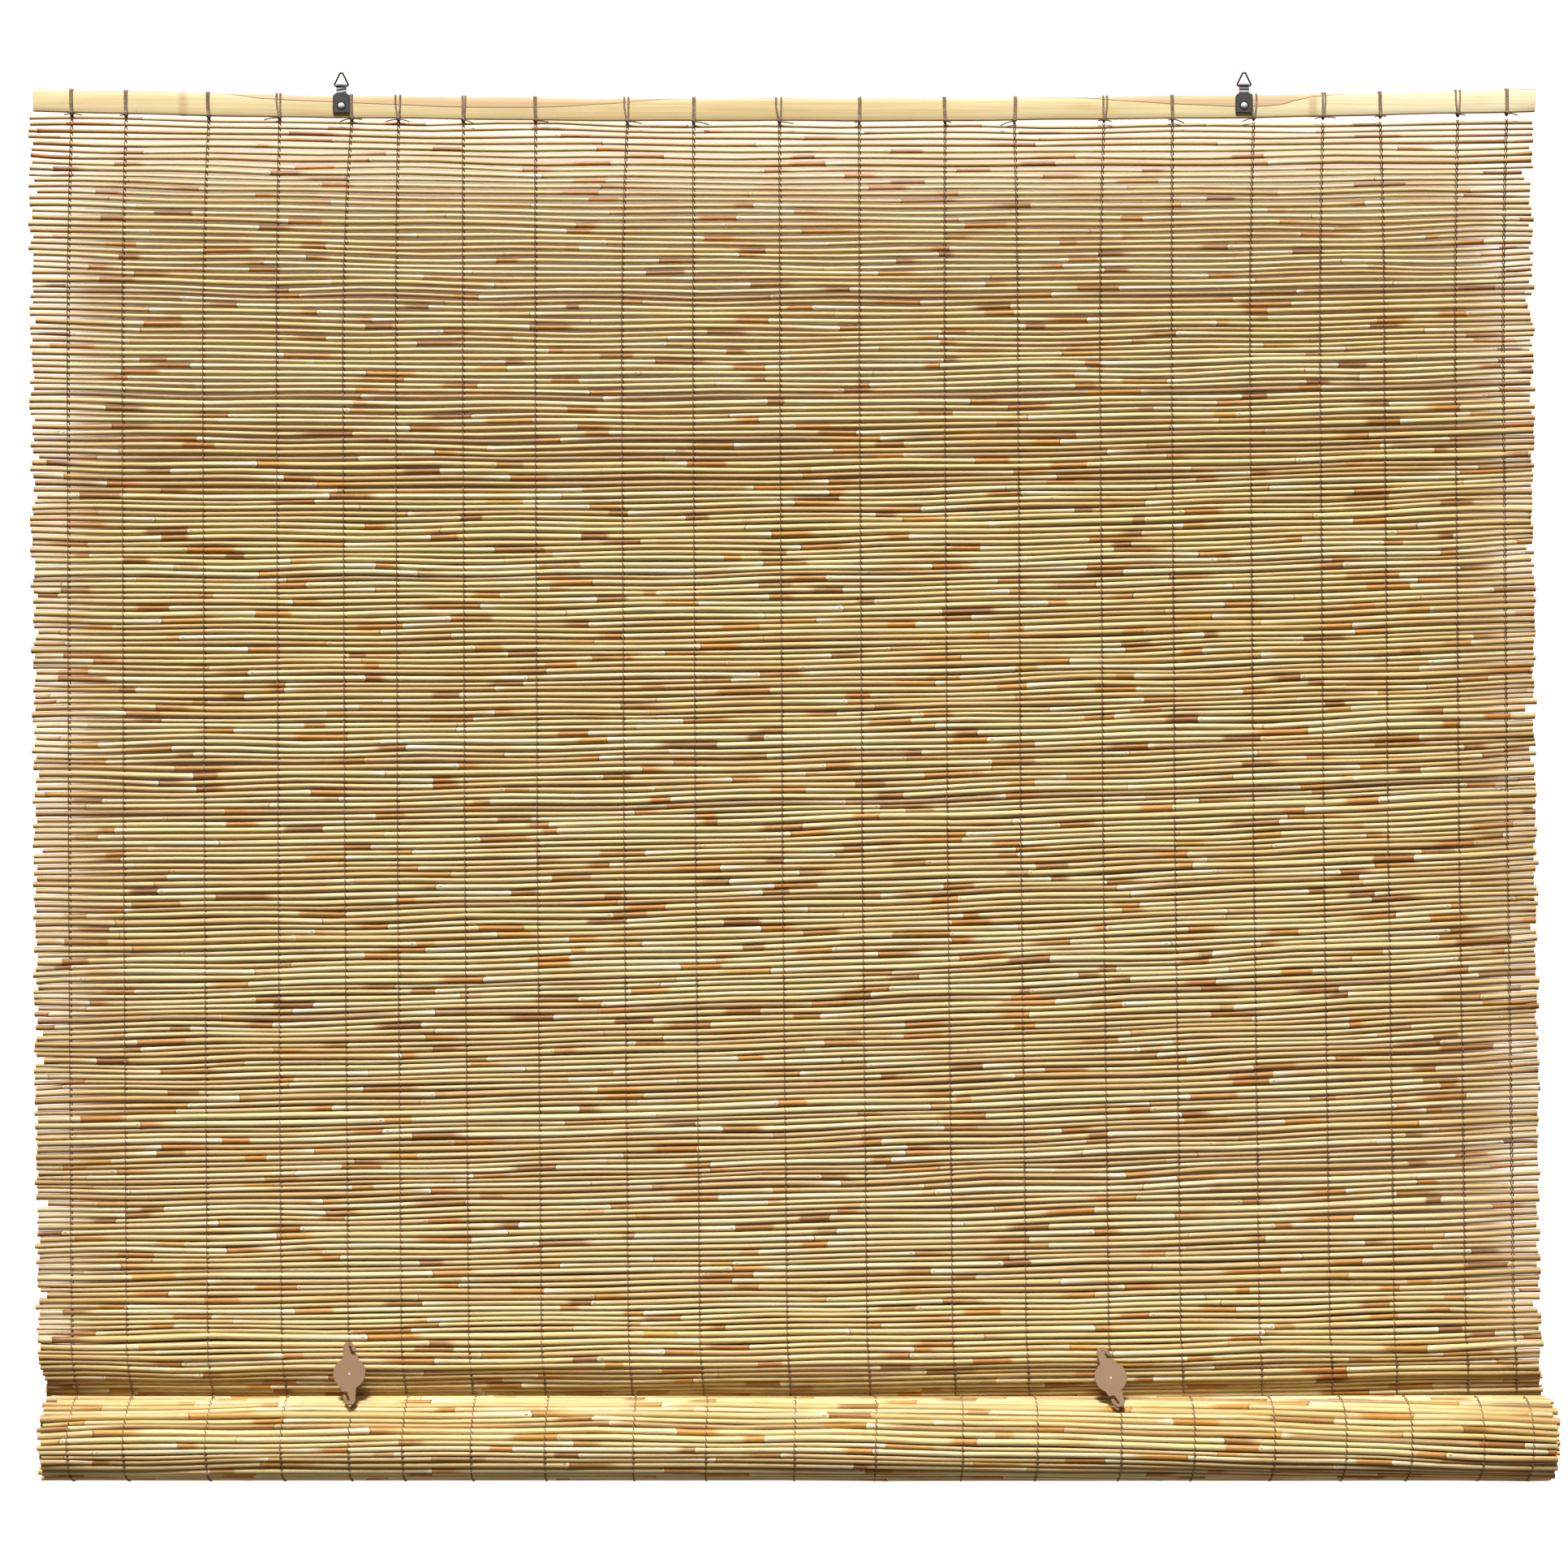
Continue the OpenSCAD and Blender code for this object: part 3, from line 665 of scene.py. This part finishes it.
# Twine: thin brown two-strand twine binds the reeds in 21 rows. One strand passes in front of a reed and one
# behind, and they cross in every gap, so each reed shows one slanting stitch.
CORD_SHARES = [
    -0.473, -0.437, -0.382, -0.335, -0.287, -0.256, -0.213, -0.165, -0.104, -0.060, -0.003,
    0.050, 0.107, 0.153, 0.2125, 0.258, 0.312, 0.358, 0.396, 0.4475, 0.480,
]
CORD_SLIPS = [
    -0.0031, -0.0026, -0.0044, -0.0021, -0.0068, -0.0019, 0, 0.0001, -0.0042, -0.0002, 0.0006,
    0.0004, -0.0002, 0.0030, -0.0031, -0.0006, -0.0030, -0.0024, 0.0033, -0.0022, -0.0029,
]
SLIP_PATHS = [0, 0.05, 0.12, 0.17]
SLIP_RATES = [0, 0.5, 0.9, 1]
CORD_R = 0.0005
STITCH_SLANT = 0.0009
STITCH_STEPS = 4
CORD_DRIFT_PATHS = [0, 0.2, 0.39, 0.59, 0.72, 0.85, 0.987, 1.06, 1.2]
CORD_DRIFT = [0, 0, 0.0012, 0.0022, 0.0035, 0.0048, 0.0061, 0.0105, 0.012]
DRIFT_SPREAD = 0.45


def spun_twine(name, shadow, middle, light):
    """Matt two-ply twine, lighter on the loose fibres, with painted shade in the grooves between the plies.
    """
    twine, tree, shader = new_material(name)
    spin = add_node(tree, "ShaderNodeTexCoord").outputs["Object"]
    fuzz = add_node(tree, "ShaderNodeTexNoise", {"Vector": spin, "Scale": 900.0, "Detail": 2.0}).outputs[0]
    dye = add_node(tree, "ShaderNodeTexNoise", {"Vector": spin, "Scale": 40.0}).outputs[0]
    tone = ramp(tree, fuzz, [(0.3, shadow), (0.55, middle), (0.75, light)])
    tone = tint(tree, maths(tree, "MULTIPLY", fade(tree, dye, 0.4, 0.7), 0.6), tone, shadow)
    ply = add_node(tree, "ShaderNodeTexWave", {
        "Vector": spin, "Scale": 260.0, "Distortion": 1.0, "Detail": 1.0,
    }, bands_direction="DIAGONAL").outputs["Fac"]
    # Painted shade: the grooves between the plies are darkened towards the darkest tone.
    tone = tint(tree, maths(tree, "MULTIPLY", fade(tree, ply, 0.55, 0.2), 0.5), tone, shadow)
    tree.links.new(tone, shader.inputs["Base Color"])
    shader.inputs["Roughness"].default_value = 0.85
    relief = add_node(tree, "ShaderNodeBump", {
        "Height": maths(tree, "ADD", fuzz, ply), "Strength": 0.6, "Distance": 0.0003,
    }).outputs[0]
    tree.links.new(relief, shader.inputs["Normal"])
    return twine


tan_twine = spun_twine("tan_twine", (0.15, 0.085, 0.035, 1), (0.35, 0.22, 0.1, 1), (0.5, 0.34, 0.17, 1))


def wind_twine(name, routes, radius, twine, sides=1, smooth=False):
    """One mesh of twine along several routes of points, each an open strand with closed ends."""
    curve = bpy.data.curves.new(name, "CURVE")
    curve.dimensions = "3D"
    curve.bevel_depth = radius
    curve.bevel_resolution = sides
    curve.use_fill_caps = True
    curve.resolution_u = 4
    for route in routes:
        spline = curve.splines.new("NURBS" if smooth else "POLY")
        spline.points.add(len(route) - 1)
        spline.points.foreach_set("co", np.hstack([route, np.ones((len(route), 1))]).ravel())
        if smooth:
            spline.order_u, spline.use_endpoint_u = 3, True
    strand = bpy.data.objects.new(name, curve)
    bpy.context.collection.objects.link(strand)
    start_piece()
    bpy.context.view_layer.objects.active = strand
    strand.select_set(True)
    bpy.ops.object.convert(target="MESH")
    strand = bpy.context.object
    bpy.ops.object.shade_smooth()
    strand.data.materials.clear()
    strand.data.materials.append(twine)
    return strand


def stitch_routes(share, slip, numbers, reed_r):
    """The two strands of one row of twine over the given rows of reed."""
    paths = np.array([row_paths[k] for k in numbers])
    x_rows = share * 2 * MAT_HALF_WIDTH + slip * np.interp(paths, SLIP_PATHS, SLIP_RATES)
    x_rows += np.interp(paths, CORD_DRIFT_PATHS, CORD_DRIFT) * (1 + DRIFT_SPREAD * 2 * share)
    pushes = [np.interp(x, STATIONS, row_push[k]) for k, x in zip(numbers, x_rows)]
    paths = paths - row_lag(x_rows, paths) + pushes
    paths = paths + row_wave(x_rows, paths)
    steps = np.arange(-0.5, len(numbers) - 0.5 + 1e-6, 1 / STITCH_STEPS)
    path = np.interp(steps, np.arange(len(numbers)), paths)
    path[steps < 0] = paths[0] + (paths[1] - paths[0]) * steps[steps < 0]
    last = steps > len(numbers) - 1
    path[last] = paths[-1] + (paths[-1] - paths[-2]) * (steps[last] - len(numbers) + 1)
    x = np.interp(steps, np.arange(len(numbers)), x_rows)
    y, z, face_y, face_z = mat_point(path)
    turn = np.pi * (steps + numbers[0])
    routes = []
    for strand in (1, -1):
        out = strand * np.cos(turn) * (np.array([reed_r(place) for place in path]) + CORD_R)
        slant = strand * STITCH_SLANT * np.sin(turn)
        routes.append(np.stack([x + slant, y + face_y * out, z + face_z * out], axis=1))
    return routes


cords = list(zip(CORD_SHARES, CORD_SLIPS))
for number, (share, slip) in enumerate(cords, start=1):
    for name, numbers in (("upper_twine_row", upper_rows), ("twine_row", lower_rows)):
        routes = stitch_routes(share, slip, numbers, hanging_r)
        stitches = wind_twine(f"{name}_{number:02d}", routes, CORD_R, tan_twine)
        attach(stitches, "rail")
        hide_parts(f"warp_cord_{number:02d}")
    gather(stitches)
bight_twine = wind_twine("bight_twine", [
    route for share, slip in cords for route in stitch_routes(share, slip, bight_rows, hanging_r)
], CORD_R, tan_twine)
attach(bight_twine, "clips")
roll_twine = wind_twine("roll_twine", [
    route for share, slip in cords for route in stitch_routes(share, slip, outer_turn, outer_r)
], CORD_R, tan_twine)
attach(roll_twine, "roll")
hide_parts("roll_cords")

# Head ties: at the top both strands of each row of twine go once round the slat and are knotted under its
# front edge, and the ends are cut off short.
TIE_R = 0.00075
TIE_SPREADS = [0, 0, 0, 0.0008, 0, 0.0012, 0.0004, 0, 0.001, 0, 0.0014]
TIE_LEAN = 0.0009
KNOT_R = 0.0013
KNOT_RISE = 0.0007
KNOT_DROP = 0.0012
TAIL_LENGTHS = (0.004, 0.013)
TAIL_DROOPS = (0.05, 0.35)
TAIL_ODDS = [(-1, 0.4), (1, 0.75)]
tie_routes, tail_routes = [], []
rng = random.Random(7)
front, back = mat_y - RAIL_DEPTH / 2 - TIE_R, mat_y + RAIL_DEPTH / 2 + TIE_R
for number, share in enumerate(CORD_SHARES):
    x = share * 2 * MAT_HALF_WIDTH
    low = rail_mid_z + rail_rise(x) - RAIL_HEIGHT / 2
    high = low + RAIL_HEIGHT + TIE_R
    spread = TIE_SPREADS[number % len(TIE_SPREADS)]
    lean = rng.uniform(-TIE_LEAN, TIE_LEAN)
    knot_z = low - KNOT_DROP
    for side in (-1, 1):
        top_x, low_x = x + lean + side * (TIE_R * 0.95 + spread), x + side * TIE_R * 0.9
        tie_routes.append(np.array([
            (x, front + 0.0014, knot_z - KNOT_DROP), (x + side * 0.0004, front - 0.0002, knot_z),
            (low_x, front, low + 0.0012), (top_x, front, low + RAIL_HEIGHT * 0.6),
            (top_x, front, high - 0.0014), (top_x, front + 0.0005, high), (top_x, mat_y, high),
            (top_x, back - 0.0005, high), (top_x, back, high - 0.0014), (low_x, back, low + 0.0012),
            (x + side * 0.0005, back - 0.0008, low - TIE_R), (x, mat_y, knot_z - KNOT_DROP),
        ]))
    turns = np.linspace(0, 2 * math.pi, 9)
    tail_routes.append(np.stack([
        x + KNOT_R * np.cos(turns),
        front - 0.0002 + KNOT_RISE * np.sin(2 * turns),
        knot_z + KNOT_RISE * np.sin(turns),
    ], axis=1))
    for side, odds in TAIL_ODDS:
        tail, droop = rng.uniform(*TAIL_LENGTHS), rng.uniform(*TAIL_DROOPS)
        if rng.random() < odds:
            tail_routes.append(np.array([
                (x + side * 0.0006, front - 0.0004, knot_z),
                (x + side * tail * 0.4, front - 0.0010, knot_z - tail * droop * 0.2),
                (x + side * tail * 0.75, front - 0.0013, knot_z - tail * droop * 0.7),
                (x + side * tail, front - 0.0010, knot_z - tail * droop * 1.1),
            ]))
grey_twine = spun_twine("grey_twine", (0.18, 0.12, 0.075, 1), (0.42, 0.30, 0.19, 1), (0.6, 0.46, 0.32, 1))
brown_twine = spun_twine(
    "brown_twine", (0.05, 0.028, 0.014, 1), (0.13, 0.075, 0.036, 1), (0.24, 0.15, 0.075, 1)
)
ties = wind_twine("head_ties", tie_routes, TIE_R, grey_twine, sides=2, smooth=True)
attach(ties, "rail")
knots = wind_twine("tie_knots", tail_routes, CORD_R, brown_twine, smooth=True)
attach(knots, "rail")

# Hangers: a folded steel strap, painted black, is riveted to the slat and carries a thin wire ring in its
# eye. The strap, rivet and ring keep the shapes of the frame and are finished here.
STRAP_HALF = 0.0069
CREASES = [-0.0015, -0.0044]
RIVET_SHADOW = (0.0035, 0.0043)


def distance(tree, aside, up):
    """How far a place is from a middle, from how far it is aside and up."""
    return maths(tree, "SQRT", maths(tree, "ADD", squared(tree, aside), squared(tree, up)))


def within(tree, value, low, high):
    """1 up to low, falling softly to 0 at high."""
    return maths(tree, "SUBTRACT", 1.0, fade(tree, value, low, high))


def strap_paint(side, slant):
    """Black paint for one strap, with painted highlights along the two folds of its neck and painted shade
    round the rivet.
    """
    paint, tree, shader = new_material(f"black_paint_{side}")
    spot = add_node(tree, "ShaderNodeTexCoord").outputs["Object"]
    grit = add_node(tree, "ShaderNodeTexNoise", {"Vector": spot, "Scale": 700.0, "Detail": 3.0}).outputs[0]
    tone = ramp(tree, grit, [(0.35, (0.05, 0.044, 0.044, 1)), (0.7, (0.085, 0.077, 0.076, 1))])
    place = add_node(tree, "ShaderNodeSeparateXYZ", {0: spot}).outputs
    low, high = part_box(f"hanger_rivet_{side}")
    eye = next(j["pos_m"] for j in frame["joints"] if j["name"] == f"ring_{side}_swing")
    aside = maths(tree, "SUBTRACT", place["X"], eye[0])
    rim = fade(tree, maths(tree, "ABSOLUTE", aside), STRAP_HALF - 0.0012, STRAP_HALF - 0.0004)
    tone = tint(tree, maths(tree, "MULTIPLY", rim, 0.8), tone, (0.012, 0.011, 0.011, 1))
    up = maths(tree, "SUBTRACT", place["Z"], (low.z + high.z) / 2)
    shade = within(tree, distance(tree, aside, up), *RIVET_SHADOW)
    tone = tint(tree, shade, tone, (0.008, 0.007, 0.007, 1))
    level = maths(tree, "MULTIPLY_ADD", aside, -slant, maths(tree, "SUBTRACT", place["Z"], eye[2]))
    collar = fade(tree, level, CREASES[0], CREASES[0] + 0.0006)
    tone = tint(tree, collar, tone, (0.012, 0.012, 0.013, 1))
    # Painted highlight: a bright line along each fold of the neck.
    for crease in CREASES:
        away = maths(tree, "ABSOLUTE", maths(tree, "SUBTRACT", level, crease))
        fold_highlight = maths(tree, "MULTIPLY", within(tree, away, 0.0003, 0.0008), 0.85)
        tone = tint(tree, fold_highlight, tone, (0.78, 0.79, 0.80, 1))
    tree.links.new(tone, shader.inputs["Base Color"])
    gloss = add_node(tree, "ShaderNodeMapRange", {"Value": grit, "To Min": 0.35, "To Max": 0.6}).outputs[0]
    tree.links.new(gloss, shader.inputs["Roughness"])
    return paint


wire, tree, shader = new_material("black_wire")
place = add_node(tree, "ShaderNodeTexCoord").outputs["Object"]
grit = add_node(tree, "ShaderNodeTexNoise", {"Vector": place, "Scale": 500.0}).outputs[0]
tone = ramp(tree, grit, [(0.3, (0.015, 0.015, 0.016, 1)), (0.7, (0.04, 0.04, 0.042, 1))])
tree.links.new(tone, shader.inputs["Base Color"])
shader.inputs["Roughness"].default_value = 0.22
shader.inputs["Coat Weight"].default_value = 0.5
steel, tree, shader = new_material("bright_steel")
place = add_node(tree, "ShaderNodeTexCoord").outputs["Object"]
grit = add_node(tree, "ShaderNodeTexNoise", {"Vector": place, "Scale": 1500.0, "Detail": 2.0}).outputs[0]
tone = ramp(tree, grit, [(0.3, (0.78, 0.78, 0.80, 1)), (0.7, (0.92, 0.92, 0.93, 1))])
tree.links.new(tone, shader.inputs["Base Color"])
shader.inputs["Metallic"].default_value = 0.35
gloss = add_node(tree, "ShaderNodeMapRange", {"Value": grit, "To Min": 0.3, "To Max": 0.45}).outputs[0]
tree.links.new(gloss, shader.inputs["Roughness"])
for side, slant in (("left", 0.15), ("right", 0.0)):
    for node, finish in (("strap", strap_paint(side, slant)), ("ring", wire), ("rivet", steel)):
        slots = frame["nodes"][f"hanger_{node}_{side}"].data.materials
        slots.clear()
        slots.append(finish)

# Clips: flat discs of tan plastic with a hook at either end, moulded in one piece. They hold the roll at its
# height by hooking the twine above it and the twine round it.
CLIP_LEANS = {"left": 21.6, "right": 25.0}
CLIP_EDGE_R = 0.00045
MARK_RING_R = 0.0021


def tan_plastic(side):
    """Matt tan plastic for one clip, with the pale sprue mark in the middle of its disc."""
    tan, tree, shader = new_material(f"tan_plastic_{side}")
    spot = add_node(tree, "ShaderNodeTexCoord").outputs["Object"]
    grain = add_node(tree, "ShaderNodeTexNoise", {"Vector": spot, "Scale": 600.0, "Detail": 3.0}).outputs[0]
    cloud = add_node(tree, "ShaderNodeTexNoise", {"Vector": spot, "Scale": 60.0}).outputs[0]
    tone = ramp(tree, cloud, [(0.3, (0.195, 0.1, 0.036, 1)), (0.7, (0.21, 0.11, 0.04, 1))])
    place = add_node(tree, "ShaderNodeSeparateXYZ", {0: spot}).outputs
    low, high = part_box(f"clip_{side}")
    aside = maths(tree, "SUBTRACT", place["X"], (low.x + high.x) / 2)
    up = maths(tree, "SUBTRACT", place["Z"], (low.z + high.z) / 2)
    up = maths(tree, "DIVIDE", up, math.cos(math.radians(CLIP_LEANS[side])))
    off = distance(tree, aside, up)
    ring_off = maths(tree, "ABSOLUTE", maths(tree, "SUBTRACT", off, MARK_RING_R))
    ring = maths(tree, "MULTIPLY", within(tree, ring_off, 0.0002, 0.0006), 0.25)
    tone = tint(tree, ring, tone, (0.16, 0.09, 0.045, 1))
    tone = tint(tree, within(tree, off, 0.0006, 0.001), tone, (0.80, 0.68, 0.55, 1))
    tree.links.new(tone, shader.inputs["Base Color"])
    gloss = add_node(tree, "ShaderNodeMapRange", {"Value": grain, "To Min": 0.5, "To Max": 0.65}).outputs[0]
    tree.links.new(gloss, shader.inputs["Roughness"])
    relief = add_node(tree, "ShaderNodeBump", {
        "Height": grain, "Strength": 0.12, "Distance": 0.0002,
    }).outputs[0]
    tree.links.new(relief, shader.inputs["Normal"])
    return tan


for side in ("left", "right"):
    clip = bpy.data.objects.new(f"hook_clip_{side}", frame["nodes"][f"clip_{side}"].data.copy())
    bpy.context.collection.objects.link(clip)
    start_piece()
    bpy.context.view_layer.objects.active = clip
    clip.select_set(True)
    bpy.ops.object.mode_set(mode="EDIT")
    bpy.ops.mesh.select_all(action="SELECT")
    bpy.ops.mesh.remove_doubles(threshold=DOUBLE_GAP)
    bpy.ops.mesh.dissolve_limited(angle_limit=math.radians(2))
    bpy.ops.object.mode_set(mode="OBJECT")
    bevel = clip.modifiers.new("rounded edges", "BEVEL")
    bevel.width, bevel.segments, bevel.angle_limit = CLIP_EDGE_R, 2, math.radians(60)
    bpy.ops.object.modifier_apply(modifier=bevel.name)
    bpy.ops.object.shade_flat()
    clip.data.materials.clear()
    clip.data.materials.append(tan_plastic(side))
    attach(clip, "clips")
    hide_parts(f"clip_{side}")

# Room: a wall close behind the blind, dark brown, that glows white for the camera where it lies open and so
# paints shade behind the blind, a pale floor below it, soft light from the front and above, from behind and,
# on the roll alone, from below, and a camera square to the middle of the blind.
WALL_Y = 0.046
WALL_MID_Z = -0.55
WALL_SIZE = (5, 4, 1)
WALL_SHADE_TONE = (0.24, 0.13, 0.065, 1)
FLOOR_Z = -1.45
FLOOR_SIZE = 8
FLOOR_TONE = (0.86, 0.86, 0.85, 1)
FLOOR_BOUNCE = (0.04, 0.016, 0.004, 1)
SKY_TONE = (0.93, 0.93, 0.93, 1)
VIEW_SCALE = 0.0006565
VIEW_SIZE = 1932
VIEW_Z = -0.5747
VIEW_DISTANCE = 2.5

start_piece()
bpy.ops.mesh.primitive_plane_add(size=1, location=(0, WALL_Y, WALL_MID_Z), rotation=(math.pi / 2, 0, 0))
wall = bpy.context.object
wall.name = "wall"
wall.scale = WALL_SIZE
bpy.ops.object.transform_apply(location=True, rotation=True, scale=True)
# Painted light and shade: the wall's own colour is a dark brown, and for the camera alone it glows by how
# open it lies, white in the open and pinkish brown to black behind and near the blind.
wall_glow, tree, shader = new_material("glowing_wall")
shader.inputs["Base Color"].default_value = WALL_SHADE_TONE
shader.inputs["Roughness"].default_value = 0.95
shader.inputs["Emission Strength"].default_value = 1
open_air = add_node(tree, "ShaderNodeAmbientOcclusion", {"Distance": 0.12}, samples=32).outputs["AO"]
tree.links.new(ramp(tree, open_air, [
    (0.18, (0, 0, 0, 1)), (0.25, (0.15, 0.08, 0.04, 1)), (0.33, (0.42, 0.27, 0.17, 1)),
    (0.4, (0.68, 0.56, 0.47, 1)), (0.47, (1, 1, 1, 1)),
]), shader.inputs["Emission Color"])
rays = add_node(tree, "ShaderNodeLightPath").outputs
plain = add_node(tree, "ShaderNodeBsdfDiffuse", {"Color": WALL_SHADE_TONE}).outputs[0]
lit = add_node(tree, "ShaderNodeMixShader", {
    0: rays["Is Camera Ray"], 1: plain, 2: shader.outputs[0],
}).outputs[0]
unseen = add_node(tree, "ShaderNodeBsdfTransparent").outputs[0]
from_behind = add_node(tree, "ShaderNodeNewGeometry").outputs["Backfacing"]
hidden = maths(tree, "MAXIMUM", from_behind, rays["Is Shadow Ray"])
one_sided = add_node(tree, "ShaderNodeMixShader", {0: hidden, 1: lit, 2: unseen}).outputs[0]
tree.links.new(one_sided, tree.nodes["Material Output"].inputs["Surface"])
wall.data.materials.append(wall_glow)

start_piece()
bpy.ops.mesh.primitive_plane_add(size=FLOOR_SIZE, location=(0, 0, FLOOR_Z))
floor = bpy.context.object
floor.name = "floor"
bpy.ops.object.transform_apply(location=True)
pale, tree, shader = new_material("pale_floor")
shader.inputs["Roughness"].default_value = 0.9
seen = add_node(tree, "ShaderNodeLightPath").outputs["Is Camera Ray"]
tree.links.new(tint(tree, seen, FLOOR_BOUNCE, FLOOR_TONE), shader.inputs["Base Color"])
floor.data.materials.append(pale)


def add_sun(name, strength, spread, elevation, azimuth, bounces):
    """A soft sun. Azimuth 0 shines from the front, and more is from further to the right."""
    light = bpy.data.lights.new(name, "SUN")
    light.energy, light.angle = strength, math.radians(spread)
    light.cycles.max_bounces = bounces
    lamp = bpy.data.objects.new(name, light)
    lamp.rotation_euler = (math.radians(90 - elevation), 0, math.radians(azimuth))
    bpy.context.collection.objects.link(lamp)
    return lamp


add_sun("key_light", strength=5.6, spread=12, elevation=57, azimuth=-8, bounces=1024)
add_sun("rear_light", strength=2.4, spread=40, elevation=35, azimuth=180, bounces=0)
low_light = add_sun("low_light", strength=0.8, spread=50, elevation=-60, azimuth=0, bounces=0)
underside = bpy.data.collections.new("underside")
underside.objects.link(roll)
underside.objects.link(roll_twine)
low_light.light_linking.receiver_collection = underside
low_light.light_linking.blocker_collection = underside
world = bpy.data.worlds.new("studio")
world.use_nodes = True
sky = world.node_tree
way = add_node(sky, "ShaderNodeTexCoord").outputs["Generated"]
way = add_node(sky, "ShaderNodeSeparateXYZ", {0: way}).outputs["Z"]
glow = ramp(sky, maths(sky, "MULTIPLY_ADD", way, 0.5, 0.5), [
    (0.4, (0.004, 0.002, 0.001, 1)), (0.5, (0.06, 0.037, 0.021, 1)), (0.75, (0.3, 0.3, 0.3, 1)),
])
seen = add_node(sky, "ShaderNodeLightPath").outputs["Is Camera Ray"]
sky.links.new(tint(sky, seen, glow, SKY_TONE), sky.nodes["Background"].inputs["Color"])
bpy.context.scene.world = world
bpy.context.scene.view_settings.view_transform = "Standard"

lens = bpy.data.cameras.new("front")
lens.angle = 2 * math.atan(VIEW_SIZE / 2 * VIEW_SCALE / VIEW_DISTANCE)
camera = bpy.data.objects.new("front", lens)
camera.location = (0, -VIEW_DISTANCE, VIEW_Z)
camera.rotation_euler = (math.pi / 2, 0, 0)
bpy.context.collection.objects.link(camera)
bpy.context.scene.camera = camera
